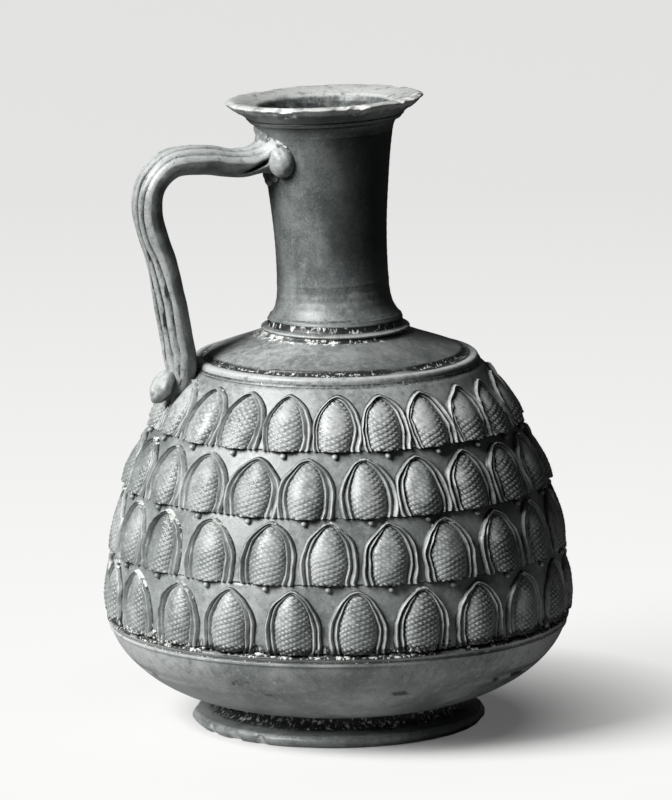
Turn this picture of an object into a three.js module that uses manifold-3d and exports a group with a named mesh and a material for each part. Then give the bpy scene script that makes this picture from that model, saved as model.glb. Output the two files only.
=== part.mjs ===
// A glazed relief jug, built as its potter built it from separately made pieces luted together with slip.
// Millimetres, Z up, origin at the centre of the foot. The front faces -Y and the handle stands at -X.
import * as THREE from "three";
import { mergeVertices } from "three/addons/utils/BufferGeometryUtils.js";
import Module from "manifold-3d";

const wasm = await Module();
wasm.setup();

// Seam of dried slip between two luted pieces that meet on a curved or turned face.
const slipSeam = 0.3;

// Foot ring
const footRadius = 40.3;
const footHeight = 5.4;
const footEdgeHeight = 2.9;
const footEdgeInset = 1.1;
const footBaseWidth = 5.8;
const footWaistRadius = 33;
const footWaistCurve = 3.4;
const footWallWidth = 4.6;

// Bowl, from its seat on the foot to the seam under the lowest belt
const bowlHeight = 31.5;
const bowlFloor = 4.8;
const bowlWall = 5;
const bowlLift = 1.6;
const bowlSpread = 7.5;
const bowlFloorCurve = 6;
const borderHeight = 3.9;
const borderProud = 1.7;
const borderGroove = 0.9;
const borderStep = 0.4;

// Plain wall behind the relief: widest at bellyHeight, drawn in to shoulderRadius at the top of the belts
const bellyRadius = 63;
const bellyHeight = 36;
const shoulderRadius = 40.5;
const drumWall = 2.8;
const beltSkin = 2;

// Belts of scales. A scale is a double pointed arch round a cone, cut off straight at its foot.
const scalesPerBelt = 22;
const ridgeHeight = 1.1;
const ridgeGroove = 0.45;
const coneGroove = 0.25;
const archPoint = 0.14;
const archTuck = 0.12;
const archTop = 0.955;
const coneTop = 0.83;
const topRise = 15.7;
const topArch = 13;
const topCone = 8.6;
const topRelief = 2.9;
const upperRise = 17;
const upperArch = 14.6;
const upperCone = 10.2;
const upperRelief = 2.8;
const lowerRise = 17.7;
const lowerArch = 15.2;
const lowerCone = 10.6;
const lowerRelief = 2.4;
const bottomRise = 18.7;
const bottomArch = 15.6;
const bottomCone = 10.6;
const bottomRelief = 2.6;
const belts = [
  { name: "scale_belt_1", rise: topRise, archWidth: topArch, coneWidth: topCone, relief: topRelief, turn: 0 },
  {
    name: "scale_belt_2", rise: upperRise, archWidth: upperArch, coneWidth: upperCone, relief: upperRelief,
    turn: 0.5,
  },
  {
    name: "scale_belt_3", rise: lowerRise, archWidth: lowerArch, coneWidth: lowerCone, relief: lowerRelief,
    turn: -0.13,
  },
  {
    name: "scale_belt_4", rise: bottomRise, archWidth: bottomArch, coneWidth: bottomCone, relief: bottomRelief,
    turn: 0.3,
  },
];

// Shoulder
const shoulderRise = 8.6;
const shoulderWall = 4.2;
const shoulderBand = 1.4;
const ridgeRise = 2.4;
const ridgeStep = 2;
const shoulderGroove = 1.2;
const domeFullness = 2.2;

// Collar and neck
const boreRadius = 12;
const neckRadius = 15.3;
const neckLength = 51;
const neckFootFlare = 2.7;
const neckFootCurl = 3;
const neckTopFlare = 3.3;
const collarHeight = 5.2;
const collarProud = 5.3;
const collarGroove = 1.2;
const collarLedge = 0.6;

// Lean of the neck, to the left and away from the front, about a point inside the shoulder
const leanLeft = 2;
const leanBack = 1.8;
const leanPivotDrop = 5;

// Lip
const lipHeight = 9.1;
const lipRadius = 27.3;
const lipStep = 0.7;
const lipEdge = 1.3;
const rimWidth = 1.2;
const throatRadius = 18.2;
const throatDepth = 2.6;
const throatFlare = 1.1;

// Strap handle
const handleTurn = 15;
const strapWidth = 15.4;
const strapThick = 6.8;
const strapRib = 1;
const strapReach = 53.1;
const strapRootDrop = 7.1;
const strapBend = 12.6;
const strapCrest = 0.9;
const strapSpread = 3.8;
const strapFootLap = 9.8;
const strapFootStandoff = 1.5;
const strapSag = 1.2;
const strapTail = 4;
const strapSteps = 38;
const pocketLift = 8;

// Buttons at the head of the strap, disc and bead on its foot
const buttonRadius = 4;
const buttonTurn = 32;
const buttonSeat = 0.5;
const discRadius = 4.8;
const discThick = 5;
const discRise = 1.3;
const beadRadius = 2;
const beadThick = 3.6;
const beadRise = 2;
const beadSide = -3.4;
const disc = { radius: discRadius, thick: discThick, share: 0.945, side: 0, rise: discRise };
const bead = { radius: beadRadius, thick: beadThick, share: 0.975, side: beadSide, rise: beadRise };

// Roundness of the turned pieces
const bodyFacets = 2 * scalesPerBelt;
const neckFacets = 32;
const lipFacets = 32;

// Heights of the seams, from the table up
const beltTotal = belts.reduce((sum, belt) => sum + belt.rise, 0);
const shoulderHeight = bowlHeight + beltTotal;
const collarSeat = shoulderHeight + shoulderRise;
const neckSeat = collarSeat + collarHeight;
const lipSeat = neckSeat + neckLength;
const rimHeight = lipSeat + lipHeight;

const degrees = THREE.MathUtils.degToRad;
const v2 = (r, z) => new THREE.Vector2(r, z);

// Radius of the plain wall at a height, and how much it draws in for each millimetre of height.
const plainWall = (z) => {
  const share = (z - bellyHeight) / (shoulderHeight - bellyHeight);
  return bellyRadius - (bellyRadius - shoulderRadius) * share * share;
};
const wallSlope = (z) => plainWall(z + 0.5) - plainWall(z - 0.5);
const drumOuter = (z) => plainWall(z) - beltSkin - slipSeam;
const drumInner = (z) => drumOuter(z) - drumWall;

// Outer radius of the upright neck at a height.
const neckOuter = (z) => {
  const foot = neckFootFlare * Math.exp(-(z - neckSeat) / neckFootCurl);
  const share = Math.max(0, (z - neckSeat - neckLength * 0.3) / (neckLength * 0.7));
  return neckRadius + foot + neckTopFlare * share ** 1.7;
};

// The lean as one rigid turn about its pivot on the axis.
const leanPivot = new THREE.Vector3(0, 0, collarSeat - leanPivotDrop);
const leanTurn = new THREE.Euler(-degrees(leanBack), -degrees(leanLeft), 0);
const leanMatrix = new THREE.Matrix4()
  .makeTranslation(leanPivot)
  .multiply(new THREE.Matrix4().makeRotationFromEuler(leanTurn))
  .multiply(new THREE.Matrix4().makeTranslation(leanPivot.clone().negate()));

// A closed geometry as a solid that can be joined and cut.
function solidOf(geometry) {
  const loose = geometry.index ? geometry.toNonIndexed() : geometry;
  const bare = new THREE.BufferGeometry().setAttribute("position", loose.getAttribute("position"));
  const merged = mergeVertices(bare, 1e-4);
  const triVerts = new Uint32Array(merged.index.array);
  const vertProperties = merged.attributes.position.array;
  return new wasm.Manifold(new wasm.Mesh({ numProp: 3, vertProperties, triVerts }));
}

// The geometry of a solid after its joins and cuts.
function geometryOf(solid) {
  const mesh = solid.getMesh();
  const positions = new Float32Array(mesh.numVert * 3);
  for (let i = 0; i < mesh.numVert; i++) {
    const start = i * mesh.numProp;
    positions.set(mesh.vertProperties.subarray(start, start + 3), i * 3);
  }
  const geometry = new THREE.BufferGeometry();
  geometry.setAttribute("position", new THREE.BufferAttribute(positions, 3));
  geometry.setIndex(new THREE.BufferAttribute(mesh.triVerts, 1));
  geometry.computeVertexNormals();
  return geometry;
}

// A closed profile of radius and height turned about Z, its points running up the outside and down the inside.
function turned(profile, facets) {
  const closed = profile[0].x > 0 ? [...profile, profile[0].clone()] : profile;
  return new THREE.LatheGeometry(closed, facets).rotateX(Math.PI / 2);
}

// The points of a plane curve pushed sideways by a distance, to its left as it runs.
function pushed(curve, count, distance, from = 0, to = 1) {
  const points = [];
  for (let i = 0; i <= count; i++) {
    const t = from + ((to - from) * i) / count;
    const tangent = curve.getTangent(t);
    points.push(curve.getPoint(t).add(v2(-tangent.y, tangent.x).multiplyScalar(distance)));
  }
  return points;
}

function footRing() {
  const base = footRadius - footEdgeInset;
  return turned(
    [
      v2(base - footBaseWidth, 0),
      v2(base, 0),
      v2(footRadius - footEdgeInset * 0.2, footEdgeHeight * 0.35),
      v2(footRadius, footEdgeHeight * 0.8),
      v2(footRadius - footEdgeInset * 0.8, footEdgeHeight),
      v2(footWaistRadius + footWaistCurve, footEdgeHeight + (footHeight - footEdgeHeight) * 0.2),
      v2(footWaistRadius + footWaistCurve * 0.3, footEdgeHeight + (footHeight - footEdgeHeight) * 0.5),
      v2(footWaistRadius, footHeight),
      v2(footWaistRadius - footWallWidth, footHeight),
    ],
    bodyFacets,
  );
}

function bowl() {
  const borderFoot = bowlHeight - borderHeight;
  const rim = plainWall(bowlHeight);
  const outside = new THREE.CubicBezierCurve(
    v2(footWaistRadius, footHeight),
    v2(footWaistRadius + bowlSpread, footHeight + bowlLift),
    v2(rim - bowlSpread * 0.4, footHeight + (borderFoot - footHeight) * 0.43),
    v2(rim + borderStep, borderFoot),
  );
  const inside = pushed(outside, 4, bowlWall, 0.22, 1).reverse();
  const border = [
    v2(rim + borderProud * 0.65, borderFoot + borderHeight * 0.18),
    v2(rim + borderProud - borderGroove, borderFoot + borderHeight * 0.4),
    v2(rim + borderProud, borderFoot + borderHeight * 0.62),
    v2(rim + borderProud * 0.5, borderFoot + borderHeight * 0.87),
    v2(rim, bowlHeight),
  ];
  const floorEdge = inside[inside.length - 1].x - bowlFloorCurve;
  return turned(
    [
      v2(0, footHeight),
      ...outside.getPoints(6),
      ...border,
      v2(drumInner(bowlHeight), bowlHeight),
      ...inside,
      v2(floorEdge, footHeight + bowlFloor),
      v2(0, footHeight + bowlFloor),
    ],
    bodyFacets,
  );
}

// The seams between the belts from the bottom up, with a level halfway up each belt.
function wallLevels() {
  const levels = [bowlHeight];
  for (const belt of [...belts].reverse()) {
    const base = levels[levels.length - 1];
    levels.push(base + belt.rise / 2, base + belt.rise);
  }
  return levels;
}

function drum() {
  const levels = wallLevels();
  const outside = levels.map((z) => v2(drumOuter(z), z));
  const inside = levels.map((z) => v2(drumInner(z), z)).reverse();
  return turned([...outside, ...inside], bodyFacets);
}

// Seven points of a pointed arch drawn in a little at its feet, from the left foot over the crown to the right.
function archLine(halfWidth, top, out) {
  return Array.from({ length: 7 }, (_, i) => {
    const angle = (Math.PI * i) / 6;
    const lift = Math.sin(angle);
    const across = -Math.sign(Math.cos(angle)) * Math.abs(Math.cos(angle)) ** 0.65;
    const narrow = (1 - archPoint * lift ** 4) * (1 - archTuck * (1 - lift) ** 3);
    return { x: i === 3 ? 0 : halfWidth * across * narrow, up: i === 6 ? 0 : top * lift ** 0.95, out };
  });
}

// One belt: a ring of clay as thick as its skin, with a scale on each of its cells. Cells are counted in half
// pitches, so that neighbours share the very same corner.
function scaleBelt(belt, base) {
  const pitch = (2 * Math.PI) / scalesPerBelt;
  const trueRadius = plainWall(base + belt.rise * 0.3);
  const cellHalf = (pitch * trueRadius) / 2;
  const positions = [];
  const place = (angle, z, radius) => new THREE.Vector3(radius * Math.sin(angle), -radius * Math.cos(angle), z);
  const turnOf = (halves) => (((halves + bodyFacets) % bodyFacets) * pitch) / 2;
  const add = (a, b, c) => positions.push(...a.toArray(), ...b.toArray(), ...c.toArray());
  const outer = (halves, point) => {
    const z = base + belt.rise * point.up;
    const steep = Math.hypot(1, wallSlope(z));
    return place(turnOf(halves) + point.x / trueRadius, z, plainWall(z) + point.out * steep);
  };
  const inner = (halves, up) => {
    const z = base + belt.rise * up;
    return place(turnOf(halves), z, plainWall(z) - beltSkin);
  };
  const ground = (up) => ({ x: 0, up, out: 0 });

  const archHalf = belt.archWidth / 2;
  const coneHalf = belt.coneWidth / 2;
  const ring = (share, out) =>
    archLine(coneHalf + (archHalf - coneHalf) * share, coneTop + (archTop - coneTop) * share, out);
  const lines = [
    ring(1, 0),
    ring(0.75, ridgeHeight),
    ring(0.5, ridgeGroove),
    ring(0.25, ridgeHeight),
    ring(0, coneGroove),
    archLine(coneHalf * 0.66, coneTop * 0.84, belt.relief * 0.86),
  ];
  const crown = { x: 0, up: coneTop * 0.4, out: belt.relief };
  const crownFoot = { x: 0, up: 0, out: belt.relief * 0.95 };

  // Faces of the flat ground round a scale and of the cut-off foot, as corner numbers of their outlines.
  const outline = [
    ...lines[0].map((p) => v2(p.x, p.up * belt.rise)),
    v2(cellHalf, 0),
    v2(cellHalf, belt.rise / 2),
    v2(cellHalf, belt.rise),
    v2(0, belt.rise),
    v2(-cellHalf, belt.rise),
    v2(-cellHalf, belt.rise / 2),
    v2(-cellHalf, 0),
  ];
  const groundFaces = THREE.ShapeUtils.triangulateShape(outline, []);
  const clockwise = THREE.ShapeUtils.isClockWise(groundFaces[0].map((i) => outline[i]));

  for (let cell = 0; cell < scalesPerBelt; cell++) {
    const mid = 2 * cell;
    const left = mid - 1;
    const right = mid + 1;
    const curves = lines.map((line) => line.map((point) => outer(mid, point)));
    const top = outer(mid, ground(1));
    const corners = [
      ...curves[0],
      outer(right, ground(0)),
      outer(right, ground(0.5)),
      outer(right, ground(1)),
      top,
      outer(left, ground(1)),
      outer(left, ground(0.5)),
      outer(left, ground(0)),
    ];
    for (const [a, b, c] of groundFaces) {
      if (clockwise) add(corners[a], corners[c], corners[b]);
      else add(corners[a], corners[b], corners[c]);
    }
    for (let k = 0; k + 1 < curves.length; k++) {
      for (let i = 0; i < 6; i++) {
        add(curves[k][i], curves[k + 1][i], curves[k + 1][i + 1]);
        add(curves[k][i], curves[k + 1][i + 1], curves[k][i + 1]);
      }
    }
    const last = curves[curves.length - 1];
    const peak = outer(mid, crown);
    const peakFoot = outer(mid, crownFoot);
    for (let i = 0; i < 6; i++) add(last[i + 1], last[i], peak);
    add(peak, last[0], peakFoot);
    add(peak, peakFoot, last[6]);

    // The cut-off foot and the top edge are flat, so that each belt rests on the next.
    const footLine = [
      outer(left, ground(0)),
      ...curves.map((curve) => curve[0]),
      peakFoot,
      ...curves.map((curve) => curve[6]).reverse(),
      outer(right, ground(0)),
      inner(right, 0),
      inner(mid, 0),
      inner(left, 0),
    ];
    const flat = footLine.map((p) => v2(p.x, p.y));
    for (const [a, b, c] of THREE.ShapeUtils.triangulateShape(flat, [])) {
      if (THREE.ShapeUtils.isClockWise([flat[a], flat[b], flat[c]])) add(footLine[a], footLine[b], footLine[c]);
      else add(footLine[a], footLine[c], footLine[b]);
    }
    for (const side of [left, mid]) {
      const next = side + 1;
      add(outer(side, ground(1)), outer(next, ground(1)), inner(next, 1));
      add(outer(side, ground(1)), inner(next, 1), inner(side, 1));
      for (const [low, high] of [[0, 0.5], [0.5, 1]]) {
        add(inner(side, low), inner(side, high), inner(next, high));
        add(inner(side, low), inner(next, high), inner(next, low));
      }
    }
  }
  const geometry = new THREE.BufferGeometry();
  geometry.setAttribute("position", new THREE.Float32BufferAttribute(positions, 3));
  return geometry.rotateZ(belt.turn * pitch);
}

function shoulder() {
  const ridge = shoulderRadius - shoulderBand;
  const ridgeTop = shoulderHeight + ridgeRise;
  const collar = neckRadius + collarProud;
  const domeFoot = ridge - ridgeStep - shoulderGroove;
  const dome = new THREE.CubicBezierCurve(
    v2(domeFoot, ridgeTop + shoulderGroove),
    v2(domeFoot - (domeFoot - collar) * 0.35, ridgeTop + shoulderGroove + domeFullness),
    v2(collar + (domeFoot - collar) * 0.35, collarSeat - domeFullness * 0.55),
    v2(collar + collarLedge * 0.7, collarSeat),
  );
  const roof = pushed(dome, 3, shoulderWall, 0.05, 0.85).reverse();
  return turned(
    [
      v2(shoulderRadius, shoulderHeight),
      v2(ridge, shoulderHeight + ridgeRise * 0.35),
      v2(ridge + shoulderGroove * 0.4, shoulderHeight + ridgeRise * 0.6),
      v2(ridge - shoulderGroove * 0.4, ridgeTop),
      v2(ridge - ridgeStep, ridgeTop + shoulderGroove * 0.25),
      ...dome.getPoints(4),
      v2(boreRadius, collarSeat),
      v2(boreRadius, collarSeat - shoulderWall * 0.7),
      ...roof,
      v2(drumInner(shoulderHeight), shoulderHeight),
    ],
    bodyFacets,
  );
}

function neckCollar() {
  const crest = neckRadius + collarProud;
  return turned(
    [
      v2(crest + collarLedge * 0.4, collarSeat),
      v2(crest - collarGroove * 0.4, collarSeat + collarHeight * 0.2),
      v2(crest, collarSeat + collarHeight * 0.42),
      v2(crest, collarSeat + collarHeight * 0.6),
      v2(crest - collarGroove, collarSeat + collarHeight * 0.76),
      v2(crest - collarGroove * 1.1, collarSeat + collarHeight * 0.9),
      v2(neckOuter(neckSeat) + collarLedge, neckSeat - slipSeam),
      v2(boreRadius, neckSeat - slipSeam),
      v2(boreRadius, collarSeat),
    ],
    neckFacets,
  );
}

// The neck's profile, wider all round by the given clearance. It starts below its seat, to be trimmed level.
function neckProfile(clearance, bore) {
  const shares = [-0.05, 0, 0.02, 0.05, 0.09, 0.16, 0.3, 0.5, 0.65, 0.8, 0.9, 1];
  const outside = shares.map((share) => {
    const z = neckSeat + neckLength * share;
    return v2(neckOuter(Math.max(z, neckSeat)) + clearance, z);
  });
  const low = neckSeat + neckLength * shares[0];
  if (bore === 0) return [v2(0, low), ...outside, v2(0, lipSeat)];
  return [...outside, v2(bore + throatFlare, lipSeat), v2(bore, lipSeat - lipHeight), v2(bore, low)];
}

function neck() {
  const leaned = solidOf(turned(neckProfile(0, boreRadius), neckFacets).applyMatrix4(leanMatrix));
  const below = new THREE.BoxGeometry(4 * neckRadius, 4 * neckRadius, neckLength);
  below.translate(0, 0, neckSeat - neckLength / 2);
  return leaned.subtract(solidOf(below));
}

function lip() {
  const low = lipSeat + slipSeam;
  const start = neckOuter(lipSeat);
  const span = rimHeight - low;
  const spread = lipRadius - start;
  const dip = rimHeight - throatDepth;
  return turned(
    [
      v2(start, low),
      v2(start + spread * 0.12, low + span * 0.18),
      v2(start + spread * 0.22, low + span * 0.32),
      v2(start + spread * 0.22 + lipStep, low + span * 0.34),
      v2(start + spread * 0.7, low + span * 0.66),
      v2(lipRadius - rimWidth * 0.3, rimHeight - lipEdge * 1.4),
      v2(lipRadius, rimHeight - lipEdge),
      v2(lipRadius - rimWidth * 0.25, rimHeight - lipEdge * 0.3),
      v2(lipRadius - rimWidth, rimHeight),
      v2(throatRadius + (lipRadius - throatRadius) * 0.28, rimHeight - throatDepth * 0.35),
      v2(throatRadius, dip),
      v2(boreRadius + throatFlare + (throatRadius - boreRadius) * 0.25, low + (dip - low) * 0.5),
      v2(boreRadius + throatFlare, low),
    ],
    lipFacets,
  );
}

// The strap's path in its own upright plane: distance from the axis, height, width, thickness and rib share.
const strapRoot = lipSeat - strapRootDrop;
const footTop = shoulderHeight + 1;
const footMiddle = footTop - strapFootLap / 2;
const footEnd = footTop - strapFootLap;
const footOut = plainWall(footTop) + strapThick / 2 + strapFootStandoff;
const bendEnd = strapRoot - strapBend;
const descent = (bendEnd - footTop) / 3;
const strapStations = [
  [neckRadius - slipSeam, strapRoot, strapWidth + strapSpread * 0.5, strapThick + strapSpread, 0],
  [neckRadius + strapThick * 0.9, strapRoot, strapWidth + strapSpread * 0.3, strapThick + strapSpread * 0.5, 0.3],
  [neckRadius + strapThick * 2.1, strapRoot - strapCrest * 0.5, strapWidth, strapThick, 0.8],
  [strapReach - strapBend * 1.2, strapRoot + strapCrest, strapWidth, strapThick, 1],
  [strapReach - strapBend * 0.52, strapRoot - strapBend * 0.03, strapWidth, strapThick, 1],
  [strapReach - strapBend * 0.11, strapRoot - strapBend * 0.4, strapWidth, strapThick, 1],
  [strapReach, bendEnd, strapWidth, strapThick, 1],
  [(2 * strapReach + footOut) / 3 - strapSag, footTop + 2 * descent, strapWidth, strapThick, 1],
  [(strapReach + 2 * footOut) / 3 - strapSag, footTop + descent, strapWidth, strapThick, 1],
  [footOut, footTop, strapWidth, strapThick, 0.8],
  [plainWall(footMiddle) + strapThick * 0.3, footMiddle, strapWidth * 0.87, strapThick * 0.83, 0.2],
  [plainWall(footEnd) + strapThick * 0.1, footEnd, strapTail, strapTail * 0.45, 0],
];

// A vector value along the strap by the same smooth curve for every column of the stations.
const stationPath = new THREE.CatmullRomCurve3(
  strapStations.map(([out, z]) => new THREE.Vector3(out, z, 0)),
  false,
  "centripetal",
);
const stationSize = new THREE.CatmullRomCurve3(
  strapStations.map((s) => new THREE.Vector3(s[2], s[3], s[4])),
  false,
  "centripetal",
);

// Half of the strap's section, as shares of its half width and half thickness, with the rib share that it drops.
const halfSection = [
  [0.55, -1, 0],
  [0.9, -0.7, 0],
  [1, -0.1, 0],
  [0.9, 0.55, 0],
  [0.62, 1, 0],
  [0.33, 1, 1],
];

// A point beside the handle's plane: distance from the axis, sideways distance and height.
const handleAngle = degrees(handleTurn);
const besideHandle = (out, side, z) =>
  new THREE.Vector3(
    -out * Math.cos(handleAngle) + side * Math.sin(handleAngle),
    -out * Math.sin(handleAngle) - side * Math.cos(handleAngle),
    z,
  );

// The strap, grown all round by a clearance and raised on its outer face by a lift.
function strapSolid(clearance, lift) {
  const right = halfSection.map(([across, up, rib]) => ({ across, up, rib }));
  const left = [...right].reverse().map((p) => ({ ...p, across: -p.across }));
  const section = [...right, { across: 0, up: 1.06, rib: 0 }, ...left];
  const rings = [];
  for (let i = 0; i <= strapSteps; i++) {
    const t = i / strapSteps;
    const centre = stationPath.getPoint(t);
    const along = stationPath.getTangent(t);
    const size = stationSize.getPoint(t);
    rings.push(
      section.map(({ across, up, rib }) => {
        const side = across * (size.x / 2 + clearance);
        const raise = up > 0.5 ? lift : 0;
        const height = up * (size.y / 2 + clearance) + raise - rib * strapRib * size.z;
        return besideHandle(centre.x - along.y * height, side, centre.y + along.x * height);
      }),
    );
  }
  const positions = [];
  const add = (...corners) => corners.forEach((corner) => positions.push(...corner.toArray()));
  const count = section.length;
  for (let i = 0; i < strapSteps; i++) {
    for (let k = 0; k < count; k++) {
      const next = (k + 1) % count;
      add(rings[i][k], rings[i][next], rings[i + 1][next]);
      add(rings[i][k], rings[i + 1][next], rings[i + 1][k]);
    }
  }
  const outline = section.map(({ across, up }) => v2(across, up));
  for (const [a, b, c] of THREE.ShapeUtils.triangulateShape(outline, [])) {
    add(rings[0][a], rings[0][c], rings[0][b]);
    add(rings[strapSteps][a], rings[strapSteps][b], rings[strapSteps][c]);
  }
  const geometry = new THREE.BufferGeometry();
  geometry.setAttribute("position", new THREE.Float32BufferAttribute(positions, 3));
  return solidOf(geometry);
}

// The space of the leaned neck with its seam, which the strap's head and the buttons are pressed against.
const neckSpace = () => solidOf(turned(neckProfile(slipSeam, 0), neckFacets).applyMatrix4(leanMatrix));

function neckButton(sideTurn) {
  const angle = handleAngle + degrees(sideTurn);
  const out = neckOuter(strapRoot) + buttonSeat;
  const centre = new THREE.Vector3(-out * Math.cos(angle), -out * Math.sin(angle), strapRoot);
  const ball = new THREE.SphereGeometry(buttonRadius, 12, 8);
  centre.applyMatrix4(leanMatrix);
  ball.translate(centre.x, centre.y, centre.z);
  return solidOf(ball).subtract(neckSpace()).subtract(strapSolid(slipSeam, 0));
}

// A clay pellet flattened on the strap's outer face at a share of its path, grown by a clearance.
function footPellet(pellet, clearance) {
  const centre = stationPath.getPoint(pellet.share);
  const along = stationPath.getTangent(pellet.share);
  const size = stationSize.getPoint(pellet.share);
  const height = size.y / 2 + pellet.rise;
  const seat = besideHandle(centre.x - along.y * height, pellet.side, centre.y + along.x * height);
  const ball = new THREE.SphereGeometry(1, 12, 8);
  const radius = pellet.radius + clearance;
  ball.scale(pellet.thick / 2 + clearance, radius, radius);
  const outward = Math.atan2(along.x, -along.y);
  ball.rotateY(-outward).rotateZ(Math.PI + handleAngle).translate(seat.x, seat.y, seat.z);
  return solidOf(ball);
}

const footDisc = () => footPellet(disc, 0).subtract(strapSolid(slipSeam, 0));
const footBead = () => footPellet(bead, 0).subtract(strapSolid(slipSeam, 0)).subtract(footPellet(disc, slipSeam));

const glaze = (color, roughness) => new THREE.MeshStandardMaterial({ color, roughness, metalness: 0 });
const bodyGlaze = glaze("#7c807f", 0.42);
const reliefGlaze = glaze("#868a88", 0.45);
const neckGlaze = glaze("#747978", 0.38);
const handleGlaze = glaze("#7f8382", 0.4);
const wornLip = glaze("#a9aaa6", 0.6);

function piece(name, geometry, material) {
  const mesh = new THREE.Mesh(geometry, material);
  mesh.name = name;
  return mesh;
}

const jug = new THREE.Group();
jug.name = "relief_jug";
jug.add(piece("foot_ring", footRing(), bodyGlaze));
jug.add(piece("bowl", bowl(), bodyGlaze));
jug.add(piece("drum", drum(), bodyGlaze));

// The strap's foot, its disc and its bead are bedded in a pocket pressed into the topmost belt.
const pocket = strapSolid(slipSeam, pocketLift).add(footPellet(disc, slipSeam)).add(footPellet(bead, slipSeam));
let beltBase = shoulderHeight;
belts.forEach((belt, index) => {
  beltBase -= belt.rise;
  const ring = scaleBelt(belt, beltBase);
  const geometry = index === 0 ? geometryOf(solidOf(ring).subtract(pocket)) : ring;
  jug.add(piece(belt.name, geometry, reliefGlaze));
});

jug.add(piece("shoulder", shoulder(), bodyGlaze));
jug.add(piece("neck_collar", neckCollar(), bodyGlaze));
jug.add(piece("neck", geometryOf(neck()), neckGlaze));

const leaningTop = new THREE.Group();
leaningTop.position.copy(leanPivot);
leaningTop.rotation.copy(leanTurn);
const lipPiece = piece("lip", lip(), wornLip);
lipPiece.position.z = -leanPivot.z;
leaningTop.add(lipPiece);
jug.add(leaningTop);

const strap = strapSolid(0, 0).subtract(neckSpace());
jug.add(piece("handle_strap", geometryOf(strap), handleGlaze));
jug.add(piece("neck_button_near", geometryOf(neckButton(buttonTurn)), handleGlaze));
jug.add(piece("neck_button_far", geometryOf(neckButton(-buttonTurn)), handleGlaze));
jug.add(piece("handle_foot_disc", geometryOf(footDisc()), handleGlaze));
jug.add(piece("handle_foot_bead", geometryOf(footBead()), handleGlaze));

export default jug;
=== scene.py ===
"""The looks of a glazed relief jug, modelled piece by piece round its CAD frame.

Sizes are millimetres here and become metres where a mesh is made. The front of the jug faces -Y and its
handle stands at -X. The turned pieces are drawn as half profiles and spun on the wheel, the scales are
modelled once for each row and pressed onto the wall, and the strap is pulled along its own path.
"""

from __future__ import annotations

import logging
import math
import random
from dataclasses import dataclass, field
from enum import Enum
from functools import lru_cache
from typing import Any, Callable, Sequence

import bpy
import numpy as np
from mathutils import Matrix, Vector


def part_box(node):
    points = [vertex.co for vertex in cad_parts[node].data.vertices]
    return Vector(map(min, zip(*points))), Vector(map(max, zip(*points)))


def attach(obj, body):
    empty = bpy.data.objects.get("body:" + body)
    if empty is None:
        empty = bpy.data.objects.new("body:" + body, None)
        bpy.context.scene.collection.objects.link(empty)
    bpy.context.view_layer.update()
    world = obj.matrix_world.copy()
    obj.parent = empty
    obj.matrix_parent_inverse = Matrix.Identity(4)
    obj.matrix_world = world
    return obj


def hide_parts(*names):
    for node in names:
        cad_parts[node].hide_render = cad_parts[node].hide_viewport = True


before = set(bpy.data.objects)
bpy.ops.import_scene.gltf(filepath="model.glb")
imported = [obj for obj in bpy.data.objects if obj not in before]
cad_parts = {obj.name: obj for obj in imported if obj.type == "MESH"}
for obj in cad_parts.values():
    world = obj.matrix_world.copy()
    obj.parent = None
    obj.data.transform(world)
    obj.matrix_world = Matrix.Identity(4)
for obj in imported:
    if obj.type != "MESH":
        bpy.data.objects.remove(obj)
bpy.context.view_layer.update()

MM = 0.001
BODY = "root"
WAVES = 14
ACROSS, UP = 0, 2
LOW, HIGH = 0, 1
log = logging.getLogger("relief_jug")

Points = np.ndarray
Piece = bpy.types.Object
Table = tuple[tuple[float, ...], ...]
Socket = bpy.types.NodeSocket


class Slot(Enum):
    """The record's material slots."""

    BODY = "body_glaze"
    RELIEF = "relief_glaze"
    NECK = "neck_glaze"
    HANDLE = "handle_glaze"
    RIM = "worn_rim"


class Coat(Enum):
    """What lies on a surface, and painted shade and light, kept as a share from 0 to 1 at each point of a mesh.
    """

    # Dark deposits and pooled glaze, with painted shade in recesses, under ledges and between parts.
    DEPOSIT_AND_SHADE = "hollow"
    CRUST = "crust"
    BARE = "bare"
    # Thinner, paler glaze where it wore, with painted light on some lit faces.
    THIN_AND_LIT = "thin"
    # Smoke stains, with painted shade on the side away from the lamp.
    SMOKE_AND_SHADE = "smoke"


COATS_PER_COPY = (Coat.DEPOSIT_AND_SHADE, Coat.CRUST, Coat.THIN_AND_LIT)


# Small tools for shapes and meshes


def ease(x: np.ndarray) -> np.ndarray:
    """Rises smoothly from 0 to 1 as x does, and stays there."""
    t = np.clip(x, 0.0, 1.0)
    return t * t * (3.0 - 2.0 * t)


def band(x: np.ndarray, middle: float, half: float) -> np.ndarray:
    """A soft bump of height 1 round a middle, gone at about twice its half width."""
    return np.exp(-(((x - middle) / half) ** 2))


def ripple(points: Points, seed: int, reach: float) -> np.ndarray:
    """Smooth noise made of seeded waves, the same wherever it is asked for the same point.

    Args:
        points: Places in millimetres, one row each.
        seed: The waves' own source of chance.
        reach: About how long the waves are.

    Returns:
        Values that mostly lie between -1 and 1.
    """
    rng = np.random.default_rng(seed)
    ways = rng.normal(size=(WAVES, 3))
    ways /= np.linalg.norm(ways, axis=1)[:, None]
    lengths = reach * rng.uniform(0.6, 1.8, WAVES)
    starts = rng.uniform(0, 2 * math.pi, WAVES)
    turns = points @ (ways / lengths[:, None]).T * 2 * math.pi + starts
    return np.sin(turns).sum(axis=1) / math.sqrt(WAVES / 2) / 1.6


def polar(points: Points) -> tuple[np.ndarray, np.ndarray, np.ndarray]:
    """Returns each point's distance from the axis, its height and its turn from the front in degrees."""
    x, y, z = points.T
    return np.hypot(x, y), z, np.degrees(np.arctan2(x, -y))


def push(points: Points, by: np.ndarray) -> Points:
    """Returns the points, each moved away from the axis by its own distance."""
    moved = points.copy()
    moved[:, :2] *= (1.0 + by / np.maximum(polar(points)[0], 1.0))[:, None]
    return moved


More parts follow.
